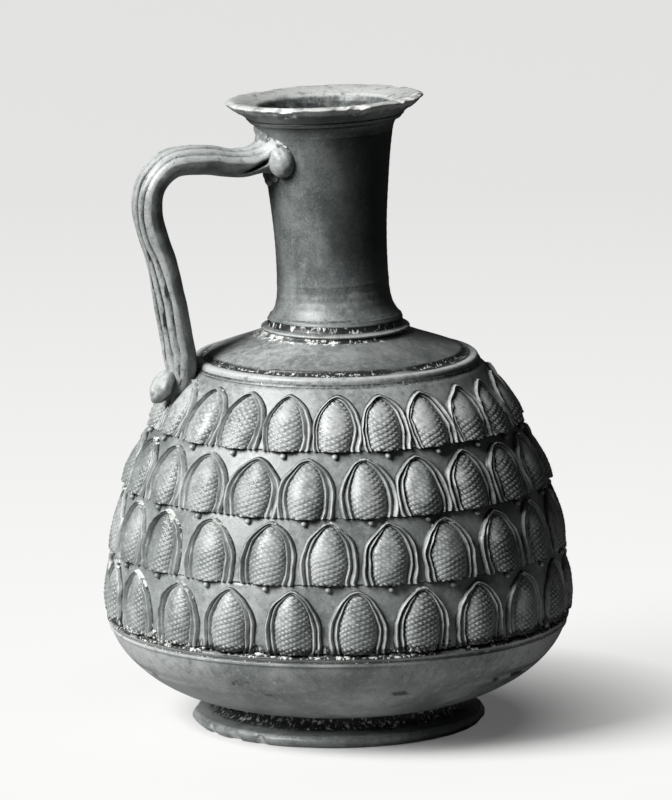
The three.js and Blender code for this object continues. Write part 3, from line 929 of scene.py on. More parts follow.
@dataclass
class Lip:
    """The flared mouth with a step under it and a chipped edge."""

    neck: Neck
    radius: float = 27.3
    height: float = 9.1
    throat: float = 18.2
    dip: float = 2.6
    facets: int = 360
    front_chips: Table = ((-25.0, 6.5, 1.4), (-35.0, 6.0, 0.7), (20.0, 7.5, 1.0), (9.0, 4.0, 0.4))
    side_chips: Table = ((58.0, 8.0, 0.8), (80.0, 6.0, 0.7), (128.0, 7.0, 0.5), (-140.0, 9.0, 0.5))

    def build(self) -> Piece:
        """Turns the lip, breaks chips out of its edge and leans it."""
        bore, throat, radius = self.neck.bore, self.throat, self.radius
        low = self.neck.seat + self.neck.length
        top, start = low + self.height, self.neck.outer(low)
        step = ((1.7, 2.7, -0.12), (2.45, 3.15, 0.1), (3.2, 3.95, -0.06), (3.25, 4.3, -0.12))
        profile = Template(bore + 1.1, low - 0.4).run((start, low), (-0.02, -0.4), (0.7, 1.9, -0.12), *step)
        profile.to(start + 5.9, low + 6.1, -0.18, steps=10).to(radius - 0.55, low + 7.9, 0.05)
        profile.run((radius, top), (-0.7, -0.1, 0.62, 8), (-2.0, 0.05, 0.1, 5))
        profile.run((throat, top), (1.4, -1.2, 0.2, 14), (-0.6, -self.dip - 0.6, 0.5, 8))
        profile.sweep((throat - 2.6, top - 5.4), (bore + 1.4, low + 2.6), (bore + 1.1, low - 0.4))
        piece = spin_profile("lip_glazed", profile, self.facets)
        points = points_of(piece)
        out, z, turn = polar(points)
        rough = ripple(points, 41, 2.2)
        bite = np.zeros(len(points))
        for place, width, depth in self.front_chips + self.side_chips:
            near = ((turn - place + 180.0) % 360.0 - 180.0) / width
            bite = np.maximum(bite, depth * np.clip(1.0 - near**2 + 0.28 * rough, 0.0, 1.0) ** 0.6)
        brim = ease((out - radius + 4.2) / 3.2) * ease((z - top + 4.2) / 2.2)
        cut = bite * brim * (1.0 + 0.2 * rough)
        worn = 0.12 * ripple(points, 42, 5.0) * brim
        points = push(points, -0.95 * cut - worn)
        points[:, 2] -= cut * 0.45 * ease((z - top + 1.6) / 1.2) - worn
        z = points[:, 2]
        set_points(piece, self.neck.hand.apply(self.neck.lean.apply(points)))
        edge = ease((out - radius + 2.6) / 1.8) * ease((z - top + 2.4) / 1.4)
        # Painted light, with real wear: the top face is paler where the light falls on it.
        face = ease((z - top + 3.0) / 1.4) * ease((out - throat + 1.5) / 1.5)
        flake = ease((bite - 0.3) * 1.8) * ease((z - top + 2.7 + 0.8 * rough) / 0.7)
        flake *= ease((out - radius + 3.6) / 0.8)
        broken = band(turn, 72.0, 16.0) * ease((radius - 0.3 - out) / 0.6 + (z < top - 1.0)) * brim
        rubbed = ease((z - top + 2.3 + 0.4 * rough) / 0.45) * ease((out - radius + 3.0) / 0.5)
        steps = 0.95 * band(z, low + 2.75, 0.35) + 0.85 * band(z, low + 4.15, 0.28)
        upward = values_of(piece.data.vertices, "normal", 3)[:, 2] > -0.2
        # Painted shade inside the throat.
        inside = ease((throat + 1.4 - out) / 2.4) * (z > low + 3.0) * upward
        marks = steps * (out > start) * (out < start + 4.4) + 0.8 * broken * (0.6 + 0.4 * rough)
        set_coats(
            piece,
            bare=0.72 * flake + 0.46 * rubbed,
            thin=0.85 * face + 0.7 * edge,
            hollow=marks + 0.62 * inside,
            crust=0.12 * band(z, low + 3.3, 0.6) * (out > start),
        )
        return smooth(piece)


# The relief


@dataclass
class ScaleRow:
    """One row of applied scales: a pine cone under a double pointed arch, 22 times round the jug."""

    wall: Wall
    hand: Hand
    node: str
    seed: int
    arch_width: float
    cone_width: float
    relief: float
    turn: float
    arch_top: float = 0.9
    shift: float = 0.0
    lime: float = 1.0
    pale: float = 0.0
    pellets: bool = True
    count: int = 22
    crown: float = 1.25
    bend: float = 0.72
    arch_point: float = 1.38
    cone_point: float = 0.62
    knob_right: tuple[float, float] = (0.97, 0.48)
    knob_left: tuple[float, float] = (-0.88, 0.92)
    knobs: int = 34
    arch_steps: int = 50
    step: float = 0.34
    facets: int = 264

    @property
    def base(self) -> float:
        """Height of the row's cut-off foot."""
        return span(self.node, UP)[LOW]

    @property
    def rise(self) -> float:
        """Height of the row."""
        return span(self.node, UP)[HIGH] - self.base

    @property
    def cone_rise(self) -> float:
        """Height of a cone over the row's foot."""
        return self.rise * self.arch_top - self.crown

    def arch(self, turn: np.ndarray, top: float, widest: float) -> tuple[np.ndarray, np.ndarray]:
        """Places points on a pointed arch of unit half width.

        Args:
            turn: From -1 at the left foot over 0 at the crown to 1 at the right foot.
            top: Height of the crown.
            widest: Height where the arch is widest and its legs begin.

        Returns:
            How far across and how high each point lies.
        """
        angle = np.minimum(np.abs(turn) / self.bend, 1.0) * math.pi / 2
        leg = np.clip((np.abs(turn) - self.bend) / (1.0 - self.bend), 0.0, 1.0)
        across = np.sin(angle) ** self.arch_point * (1.0 - 0.05 * leg**2)
        up = widest + (top - widest) * np.cos(angle)
        return np.sign(turn) * across, np.where(leg > 0.0, widest * (1.0 - leg), up)

    def model_arch(self) -> Piece:
        """Bends a strip of clay into the double arch and gives it a flat back."""
        piece = sheet("arch", self.arch_steps, 18, 2.0)
        points = points_of(piece) * MM
        turn, share = points[:, 0], (points[:, 1] + 1.0) / 2.0
        top = self.rise * self.arch_top
        outer_x, outer_y = self.arch(turn, top, top * 0.34)
        inner_x, inner_y = self.arch(turn, top - self.crown, top * 0.36)
        inner_x = np.sign(inner_x) * np.maximum(self.cone_edge(inner_y) - 0.25, 0.0) + self.shift
        outer_x = outer_x * (self.arch_width / 2 + 0.2)
        x = outer_x + (inner_x - outer_x) * share
        y = outer_y + (inner_y - outer_y) * share
        crown = band(turn, 0.0, 0.2)
        first = 1.38 * band(share, 0.26, 0.18)
        second = 1.2 * band(share, 0.72, 0.15) * (1.0 - 0.7 * crown)
        floor = 0.4 * ease((share - 0.12) / 0.15) * ease((0.96 - share) / 0.12)
        lumps = 1.0 + 0.14 * ripple(np.column_stack([x, y, 0 * x]), self.seed + 80, 3.0)
        height = np.maximum(np.maximum(first, second), floor) * lumps * (1.0 - 0.12 * crown) + 0.03
        set_points(piece, np.column_stack([x, y, height]))
        # Deposits with painted shade lie in the grooves and along the outer foot, heavier on the foot's right
        # half as a painted shadow line.
        gap = band(share, 0.5, 0.06) * (1.0 - crown) + 0.95 * ease((share - 0.87) / 0.08)
        set_coats(
            piece,
            hollow=1.05 * gap + (0.7 + 0.5 * (turn > -0.15)) * band(share, 0.0, 0.12),
            crust=(0.14 * band(share, 0.05, 0.1) + 0.38 * band(turn, 0.06, 0.26)) * self.lime,
            thin=0.8 * np.maximum(band(share, 0.26, 0.13), band(share, 0.72, 0.11)),
        )
        self.close_back(piece)
        return piece

    def close_back(self, piece: Piece) -> None:
        """Sinks the open edge of a pressed piece into the wall and closes its back."""
        pick(piece)
        start_edit("EDGE")
        bpy.ops.mesh.select_non_manifold()
        bpy.ops.mesh.extrude_edges_move(TRANSFORM_OT_translate={"value": (0, 0, -MM)})
        bpy.ops.transform.resize(value=(1, 1, 0), center_override=(0, 0, -MM))
        bpy.ops.mesh.edge_face_add()
        bpy.ops.mesh.select_mode(type="VERT")
        end_edit()

    def cone_edge(self, y: np.ndarray) -> np.ndarray:
        """Half width of the cone at a height: an egg, drawn in a little at its cut-off foot."""
        top = self.cone_rise
        widest = top * 0.4
        above = np.clip((y - widest) / (top - widest), 0.0, 1.0)
        below = np.clip((widest - y) / widest, 0.0, 1.2)
        egg = np.where(y > widest, (1.0 - above**2) ** self.cone_point, 1.0 - 0.16 * below**2.2)
        return self.cone_width / 2 * np.maximum(egg, 0.03)

    def cone_height(self, y: np.ndarray) -> np.ndarray:
        """How far the middle of the cone stands out at a height."""
        low = self.cone_rise * 0.25
        above = np.clip((y - low) / (self.cone_rise - low), 0.0, 1.0)
        return self.relief * (1.0 - above**2.4) ** 0.7 * (1.0 - 0.12 * np.clip(1.0 - y / low, 0.0, 1.0))

    def quarter(self, y: np.ndarray) -> np.ndarray:
        """Length over the dome from its middle to its edge at a height."""
        half, high = self.cone_edge(y), self.cone_height(y)
        return math.pi / 2 * np.sqrt((half**2 + high**2) / 2)

    def dome(self, flat: Points) -> Points:
        """Lays points of the flat lattice, given across, up and out of the sheet, on the dome of the cone."""
        x, y, knob = flat.T
        quarter = self.quarter(y)
        angle = np.clip(x / quarter, -1.0, 1.0) * math.pi / 2
        past = np.maximum(np.abs(x) - quarter, 0.0)
        across = (self.cone_edge(y) + knob * 0.8) * np.sin(angle) + self.shift
        return np.column_stack([across, y, (self.cone_height(y) + knob) * np.cos(angle) - past])

    def model_cone(self) -> Piece:
        """Cuts a slanting lattice of knobs into a sheet of clay and domes it into the cone."""
        piece = sheet("cone", self.knobs, self.knobs, self.knobs * MM)
        grid = points_of(piece)
        lattice = grid[:, :1] * np.array(self.knob_right) + grid[:, 1:2] * np.array(self.knob_left)
        lattice[:, 1] += self.rise * 0.4
        set_points(piece, np.column_stack([lattice, np.zeros(len(grid))]))
        pick(piece)
        start_edit("FACE")
        bpy.ops.object.mode_set(mode="OBJECT")
        for face in piece.data.polygons:
            x, y, _ = face.center / MM
            reach = self.quarter(np.array([y]))[0] + 0.6
            face.select = bool(abs(x) > reach or y > self.cone_rise + 0.3 or y < -0.9)
        bpy.ops.object.mode_set(mode="EDIT")
        bpy.ops.mesh.delete(type="FACE")
        bpy.ops.mesh.select_all(action="SELECT")
        for thickness, depth in ((0.09, 0.0), (0.14, 0.16), (0.16, 0.1)):
            bpy.ops.mesh.inset(thickness=thickness * MM, depth=depth * MM, use_individual=True)
        bpy.ops.mesh.select_all(action="SELECT")
        bpy.ops.mesh.bisect(plane_co=(0, 0, 0), plane_no=(0, -1, 0), clear_outer=True)
        bpy.ops.object.mode_set(mode="OBJECT")
        flat = points_of(piece)
        set_points(piece, self.dome(flat))
        rim = ease((np.abs(flat[:, 0]) - self.quarter(flat[:, 1]) + 0.9) / 0.8)
        # Deposits with painted shade between the knobs, in the groove round the cone and under its cut-off
        # foot.
        hollow = 0.33 * (1.0 - ease(flat[:, 2] / 0.16)) + 0.8 * rim + 0.5 * (flat[:, 1] < 0.3)
        set_coats(piece, hollow=hollow, thin=0.22 + 0.36 * ease((flat[:, 2] - 0.14) / 0.1))
        attribute = piece.data.attributes.new("flat", "FLOAT_VECTOR", "POINT")
        attribute.data.foreach_set("vector", flat.astype(np.float32).ravel())
        self.close_back(piece)
        return piece

    def model_pellet(self) -> Piece:
        """Rolls the small pellet that sits under a cone."""
        clear_selection()
        bpy.ops.mesh.primitive_ico_sphere_add(subdivisions=2, radius=0.86 * MM, location=(0, 0, 0))
        piece = start_piece("pellet")
        set_points(piece, points_of(piece) + [self.shift, -1.3, 0.55])
        height = points_of(piece)[:, 2]
        # Painted shade round the pellet's foot where it meets the wall, and a paler top.
        set_coats(piece, hollow=0.95 * ease((0.75 - height) / 0.5), thin=0.9 * ease((height - 0.9) / 0.3))
        return piece

    def press(self, points: Points, azimuth: float, rng: random.Random) -> Points:
        """Presses a flat scale onto the wall, a little differently each time.

        Args:
            points: Places on the flat scale: across, up and out.
            azimuth: Where on the jug it goes, in radians from the front.
            rng: The row's own source of chance.

        Returns:
            The places on the jug.
        """
        drift = np.array([rng.uniform(0.0, 500.0) for _ in range(3)])
        flattened = points * np.array([1.0, 1.0, 0.2]) + drift
        sways = ((20, 0.2), (21, 0.16), (22, 0.1))
        wobble = [share * ripple(flattened, self.seed + number, 5.5) for number, share in sways]
        x, y, out = (points + np.column_stack(wobble) * (points[:, 1:2] > 0.2)).T
        tilt = math.sin(math.radians(rng.gauss(0.0, 1.5)))
        size = 1.0 + rng.uniform(-0.025, 0.02)
        deep = 1.0 + rng.uniform(-0.1, 0.1)
        across = size * (x + tilt * (y - self.rise * 0.4))
        z = self.base + (y + rng.uniform(-0.15, 0.12) - tilt * x * 0.4)
        skew = rng.uniform(-0.35, 0.35) * ease(y / self.rise)
        radius = self.wall.radius(z) + out * deep * self.wall.steep(z)
        angle = azimuth + (across + skew) / self.wall.radius(z)
        return np.column_stack([radius * np.sin(angle), -radius * np.cos(angle), z])

    def wear(self, scale: Piece, rng: random.Random, more: float) -> tuple[Points, np.ndarray]:
        """Rubs the knobs of a cone down where it stands out most.

        Args:
            scale: The modelled scale.
            rng: The row's own source of chance.
            more: How much farther this scale is worn than most.

        Returns:
            The scale's places and the share of wear at each of them.
        """
        points = points_of(scale)
        flat = values_of(scale.data.attributes["flat"].data, "vector", 3)
        centre = np.array([rng.uniform(-3.2, 0.2), self.rise * rng.uniform(0.42, 0.78)])
        reach = rng.uniform(2.0, 5.2) + more
        away = np.hypot(flat[:, 0] - centre[0], (flat[:, 1] - centre[1]) * 0.7)
        rubbed = 0.85 * ease((reach - away) / 1.8) * (np.abs(flat).sum(axis=1) > 0.0)
        points[:, 2] -= flat[:, 2] * rubbed
        return points, rubbed

    def ground(self) -> Piece:
        """Turns the plain band of wall that the scales sit on, with a small step at its foot."""
        low, high, radius = self.base, self.base + self.rise, self.wall.radius
        heights = [low + 0.5 + (self.rise - 0.5) * i / 16 for i in range(17)]
        profile = Template(radius(low) - 1.9, low).to(radius(low) + self.step - 0.15, low)
        profile.to(radius(low + 0.5) + self.step, low + 0.5, 0.08)
        profile.follow(lambda z: radius(z) + self.step * (1.0 - (z - low) / self.rise), heights[1:])
        profile.run((radius(high), high), (-0.3, 0.1), (-0.4, 0.8), (-1.9, 0.8))
        profile.follow(lambda z: radius(z) - 1.9, heights[::-4])
        piece = spin_profile(f"{self.node}_ground", profile, self.facets)
        points = points_of(piece)
        z = points[:, 2]
        patch = ease((ripple(points, self.seed + 90, 24.0) + 0.5) / 0.9)
        foot = band(z, low, 0.3) if self.pellets else (0.4 + 0.6 * patch) * ease((low + 3.6 - z) / 2.4)
        # Painted shade, with deposits, darkens the top of the band under the step of the row above.
        head = ease((z - high + 1.1) / 1.0)
        crust = (0.3 * head + 0.5 * foot) * patch
        set_coats(piece, hollow=0.6 * head + 0.85 * foot, crust=crust, thin=0.2 + self.pale)
        return piece

    def build(self) -> Piece:
        """Models one scale, presses its copies round the wall and joins them with their ground."""
        rng = random.Random(self.seed)
        arch, parts = self.model_arch(), [self.model_cone()]
        if self.pellets:
            parts.append(self.model_pellet())
        scale = join(arch, parts)
        layers = scale.data.attributes
        hollow, crust, thin = (values_of(layers[k.value].data, "value", 1)[:, 0] for k in COATS_PER_COPY)
        if not self.pellets:
            packed = ease((2.4 - points_of(scale)[:, 1]) / 2.0)
            hollow, crust = hollow + 0.75 * packed, crust + 0.3 * packed
        copies = [duplicate(scale) for _ in range(self.count)]
        for index, copy in enumerate(copies):
            azimuth = 2 * math.pi * (index + self.turn) / self.count + math.radians(rng.gauss(0.0, 0.35))
            degrees = (math.degrees(azimuth) + 180.0) % 360.0 - 180.0
            # By place round the jug: on the left, towards the lamp, the painted shade in the hollows is
            # lighter, the pale glaze toned down and the lime heavier, beside real wear; on the right, painted
            # shade darkens the hollows and the whole scale.
            side, soil_and_shade = band(degrees, -62.0, 26.0), 0.35 * band(degrees, 62.0, 40.0)
            points, rubbed = self.wear(scale, rng, 1.4 * side)
            set_points(copy, self.press(points, azimuth, rng))
            dirt, lime = rng.uniform(0.8, 1.15), rng.choice((0.3, 0.7, 1.1, 1.6))
            set_coats(
                copy,
                hollow=hollow * (dirt + soil_and_shade - 0.4 * side) * (1.0 - 0.9 * rubbed) + 0.25 * soil_and_shade,
                crust=crust * (lime + 0.8 * side),
                thin=(thin + 0.3 * rubbed) * (1.0 - 0.5 * side) + self.pale,
            )
        bpy.data.objects.remove(scale)
        join(self.ground(), copies)
        belt = start_piece(f"{self.node}_glazed")
        set_points(belt, self.hand.apply(points_of(belt)))
        return smooth(belt, 70.0)


# The handle


@dataclass
class Handle:
    """The pulled strap with three ribs, its two buttons on the neck, and the disc and bead on its foot."""

    wall: Wall
    neck: Neck
    turn: float = 15.0
    width: float = 15.4
    thick: float = 6.8
    reach: float = 53.1
    root_rise: float = 43.9
    bend: float = 12.6
    twist: float = 12.0
    rib: float = 1.05
    rings: int = 150
    sides: int = 72
    button_turn: float = 32.0
    upper_lumps: Table = ((-63.0, 6.4, 2.1), (-73.0, 6.4, 2.8), (-52.0, 4.6, 1.6), (-82.0, 8.6, 2.0))
    lower_lumps: Table = ((-58.0, -3.9, 2.1), (-70.0, -4.4, 3.0))
    grooves: Table = ((0.3, 0.11, 1.0), (-0.3, 0.11, 1.0), (0.76, 0.075, 0.75), (-0.76, 0.075, 0.75))

    @property
    def root(self) -> float:
        """Height of the strap's middle where it meets the neck."""
        return self.neck.seat + self.root_rise

    def stations(self) -> np.ndarray:
        """Places along the strap: distance out, height, width, thickness and how clearly the ribs show."""
        root, reach, bend, wide, thick = self.root, self.reach, self.bend, self.width, self.thick
        neck, wall = self.neck.radius, self.wall.radius
        foot = self.wall.shoulder_height + 1.0
        foot_out = wall(foot) + thick / 2 + 1.5
        drop = (root - bend - foot) / 3
        return np.array(
            [
                [neck - 1.6, root + 1.6, wide + 5.0, thick + 9.0, 0.0],
                [neck + 2.4, root + 1.5, wide + 2.4, thick + 4.2, 0.1],
                [neck + 5.6, root + 0.6, wide + 0.6, thick + 0.9, 0.5],
                [neck + 12.0, root - 0.5, wide - 0.4, thick + 0.6, 0.9],
                [reach - bend * 1.2, root + 0.9, wide, thick + 0.6, 1.0],
                [reach - bend * 0.52, root, wide, thick + 0.3, 1.0],
                [reach - bend * 0.11, root - bend * 0.4, wide, thick, 1.0],
                [reach, root - bend, wide, thick + 0.2, 1.0],
                [(2 * reach + foot_out) / 3 - 1.2, foot + 2 * drop, wide, thick, 1.0],
                [(reach + 2 * foot_out) / 3 - 1.2, foot + drop, wide, thick, 1.0],
                [foot_out - 0.6, foot, wide - 3.2, thick - 0.2, 0.35],
                [wall(foot - 4.6) + thick * 0.15, foot - 4.6, wide - 8.0, thick - 1.1, 0.1],
                [wall(foot - 8.6) + thick * 0.05, foot - 8.6, wide - 11.2, thick - 2.8, 0.0],
                [wall(foot - 11.6) + thick * 0.05, foot - 11.6, 3.0, 1.8, 0.0],
            ]
        )

    def path(self, shares: np.ndarray) -> tuple[np.ndarray, np.ndarray]:
        """Follows the stations on one smooth curve.

        Args:
            shares: How far along the strap, from 0 at the neck to 1 at the belly.

        Returns:
            The five station values and the way the strap runs, out and up, one row for each share.
        """
        rows = self.stations()
        rows = np.vstack([2 * rows[0] - rows[1], rows, 2 * rows[-1] - rows[-2]])
        gaps = np.sqrt(np.hypot(*(rows[1:, :2] - rows[:-1, :2]).T))
        knots = np.concatenate([[0.0], np.cumsum(gaps)])
        length = knots[-2] - knots[1]
        small = length * 1e-3
        places = np.clip(knots[1] + shares * length, knots[1], knots[-2] - small)
        values = curve_at(rows, knots, places)
        change = (curve_at(rows, knots, places + small) - values)[:, :2]
        return values, change / np.linalg.norm(change, axis=1)[:, None]

    def beside(self, values: np.ndarray, way: np.ndarray, side: np.ndarray, height: np.ndarray) -> Points:
        """Places points round the strap's path.

        Args:
            values: The station values where they lie.
            way: The way the strap runs there.
            side: Their distance from its middle line.
            height: How far they stand out of its middle.

        Returns:
            The places on the jug.
        """
        out = values[:, 0] - way[:, 1] * height
        angle = math.radians(self.turn)
        x = -out * math.cos(angle) + side * math.sin(angle)
        y = -out * math.sin(angle) - side * math.cos(angle)
        return np.column_stack([x, y, values[:, 1] + way[:, 0] * height])

    def section(self, turn: np.ndarray, drift: np.ndarray) -> tuple[np.ndarray, np.ndarray, np.ndarray]:
        """Draws the strap's section.

        Args:
            turn: Angle round the section, 0 at its near edge and a quarter turn at its outer face.
            drift: How far the grooves wander sideways.

        Returns:
            How far across and out each point lies, in shares of the half sizes, and how deep it is in a groove.
        """
        cos, sin = np.cos(turn), np.sin(turn)
        across = np.sign(cos) * np.abs(cos) ** 0.74
        out = 1.04 * np.sign(sin) * np.abs(sin) ** 0.88
        groove = sum(depth * band(across + drift, place, half) for place, half, depth in self.grooves)
        return across, out, groove * (sin > 0)

    def strap(self) -> Piece:
        """Wraps a sheet of clay round the strap's path, closes its ends and smears slip over its head."""
        piece = sheet("handle_strap_glazed", self.rings, self.sides, 2.0)
        grid = points_of(piece) * MM
        along, turn = (grid[:, 0] + 1.0) / 2.0, (grid[:, 1] + 1.0) * math.pi
        none = 0.0 * along
        values, way = self.path(along)
        drift = 0.05 * ripple(np.column_stack([140.0 * along, none, none]), 53, 22.0)
        across, out, groove = self.section(turn, drift)
        groove = groove * values[:, 4]
        away = (turn - 6.33 + 5.4 * (along - 0.09) + math.pi) % (2 * math.pi) - math.pi
        crease = band(along, 0.13, 0.045) * band(away, 0.0, 0.13)
        side = across * (values[:, 2] / 2 - 2.0 * crease)
        height = out * values[:, 3] / 2 - groove * self.rib
        twist = np.radians(self.twist) * ease((along - 0.5) / 0.35)
        cos, sin = np.cos(twist), np.sin(twist)
        points = self.beside(values, way, side * cos + height * sin, height * cos - side * sin)
        head, outer = ease((0.12 - along) / 0.07), out > 0.2
        lumps = ripple(points, 52, 2.6)
        rough = 0.14 * ripple(points, 51, 9.0) + 0.45 * head * lumps
        points += rough[:, None] * np.array([0.7, 0.7, 0.8])
        set_points(piece, points)
        grain = ripple(np.column_stack([14.0 * along, 3.4 * turn, none]), 55, 1.0)
        grit = (0.3 + 0.2 * ease((along - 0.6) / 0.1)) * ease((grain - 0.2) / 0.6) * (out >= 0.3)
        grit *= ease((along - 0.15) / 0.1)
        dirt = 0.75 * head * ease((0.0 - lumps) / 0.4)
        lined = groove * (1.0 - 0.5 * ease((0.42 - along) / 0.12))
        # Painted light: the ribs' pale glaze is raised along the strap's upper run.
        ridges = (0.65 + 0.25 * ease((0.5 - along) / 0.2)) * outer * (1.0 - np.minimum(groove, 1.0))
        set_coats(
            piece,
            # Smoke stain and painted shade darken the strap's near flank.
            smoke=0.5 * ease((ripple(points, 54, 7.0) + 0.5) / 1.1) * (out < 0.3),
            hollow=lined + 1.6 * crease + 0.6 * ease((along - 0.95) / 0.04) + grit + dirt,
            crust=0.34 * head * outer + 0.3 * ease((along - 0.93) / 0.05) + 0.25 * groove,
            thin=ridges + 0.8 * band(along, 0.925, 0.04) * outer + 0.3 * head,
        )
        pick(piece)
        bpy.ops.object.mode_set(mode="EDIT")
        bpy.ops.mesh.select_all(action="SELECT")
        bpy.ops.mesh.remove_doubles(threshold=0.005 * MM)
        bpy.ops.mesh.select_all(action="DESELECT")
        bpy.ops.mesh.select_non_manifold()
        bpy.ops.mesh.fill_holes(sides=0)
        end_edit()
        slip = [self.lump(index, *lump) for index, lump in enumerate(self.upper_lumps + self.lower_lumps)]
        return smooth(join(piece, slip), 60.0)

    def lump(self, index: int, turn: float, rise: float, size: float) -> Piece:
        """Smears a lump of slip onto the neck beside the strap's head.

        Args:
            index: Its number, which seeds its unevenness.
            turn: Its turn from the front in degrees.
            rise: How far it lies over the strap's middle.
            size: Its half width.

        Returns:
            The lump, to be joined with the strap.
        """
        height, angle = self.root + rise, math.radians(turn)
        out = self.neck.outer(height) + 0.1
        place = self.neck.lean.matrix() @ Vector((out * math.sin(angle), -out * math.cos(angle), height))
        facing = Matrix.Rotation(angle - math.pi / 2, 4, "Z")
        lump = self.ball("slip_lump", place, (size * 0.45, size, size * 0.9), facing, seed=80 + index)
        points = points_of(lump)
        set_points(lump, points + 0.14 * ripple(points, 90 + index, 2.2)[:, None])
        set_coats(lump, thin=0.3, crust=0.14, hollow=0.22)
        return lump

    def ball(
        self, name: str, centre: Vector, sizes: Sequence[float], turn: Matrix, seed: int, leaf: float = 0.0
    ) -> Piece:
        """Rolls a pellet of clay and presses it into place.

        Args:
            name: Name of the new piece.
            centre: Its middle in millimetres.
            sizes: Its half sizes before it is turned.
            turn: Which way it faces.
            seed: Its own unevenness.
            leaf: How far it is drawn to a point below and creased down its middle.

        Returns:
            The new piece.
        """
        clear_selection()
        bpy.ops.mesh.primitive_uv_sphere_add(segments=48, ring_count=32, radius=MM)
        piece = start_piece(name)
        points = points_of(piece)
        crease = band(points[:, 1], 0.12, 0.14) * ease((points[:, 0] + 0.1) / 0.4)
        points[:, 0] -= leaf * 0.45 * crease
        points[:, 1] *= 1.0 - leaf * np.clip(-points[:, 2] - 0.1, 0.0, 1.0)
        points *= np.array(sizes)
        uneven = 1.0 + 0.03 * ripple(points, seed, 4.0) + 0.016 * ripple(points, seed, 1.5)
        set_points(piece, (points * uneven[:, None]) @ np.array(turn.to_3x3()).T + np.array(centre))
        return smooth(piece, 80.0)

    def button(self, name: str, side: int) -> Piece:
        """Presses a round button into the corner between the strap and the neck."""
        angle = math.radians(self.turn + side * self.button_turn)
        out = self.neck.outer(self.root) + 0.5
        centre = Vector((-out * math.cos(angle), -out * math.sin(angle), self.root + 0.4))
        centre = self.neck.lean.matrix() @ centre
        turn = Matrix.Rotation(math.pi + angle, 4, "Z")
        piece = self.ball(name, centre, (3.6, 4.1, 4.5), turn, seed=60 + side)
        away = points_of(piece) - np.array(centre)
        inward = away @ np.array([math.cos(angle), math.sin(angle), 0.0])
        # Dirt and painted shade where the button meets the neck, and a paler outer side.
        set_coats(
            piece,
            hollow=0.9 * ease((inward - 0.4) / 1.6),
            crust=0.25 * ease((away[:, 2] - 1.0) / 2.0),
            thin=0.7 * ease((-inward - 0.5) / 1.5),
        )
        return piece

    def foot_pellet(
        self, name: str, share: float, side: float, rise: float, sizes: tuple, seed: int, leaf: float = 0.0
    ) -> Piece:
        """Presses a pellet onto the outer face of the strap's foot.

        Args:
            name: Name of the new piece.
            share: How far down the strap it sits.
            side: Its distance from the strap's middle line.
            rise: How far its middle stands over the strap's face.
            sizes: Its half sizes: out, across and along.
            seed: Its own unevenness.
            leaf: How far it is drawn to a point below.

        Returns:
            The new piece.
        """
        values, way = self.path(np.array([share]))
        seat = self.beside(values, way, np.array([side]), values[:, 3] / 2 + rise)[0]
        outward = math.atan2(way[0, 0], -way[0, 1])
        turn = Matrix.Rotation(math.pi + math.radians(self.turn), 4, "Z") @ Matrix.Rotation(-outward, 4, "Y")
        piece = self.ball(name, Vector(seat), sizes, turn, seed, leaf)
        inward = (points_of(piece) - seat) @ -np.array(turn)[:3, 0]
        # Dirt and painted shade where the pellet meets the strap, and a paler outer side.
        set_coats(piece, hollow=0.8 * ease((inward - 0.3) / 1.2), thin=0.6 * ease((-inward - 0.3) / 1.2))
        return piece


# The stage


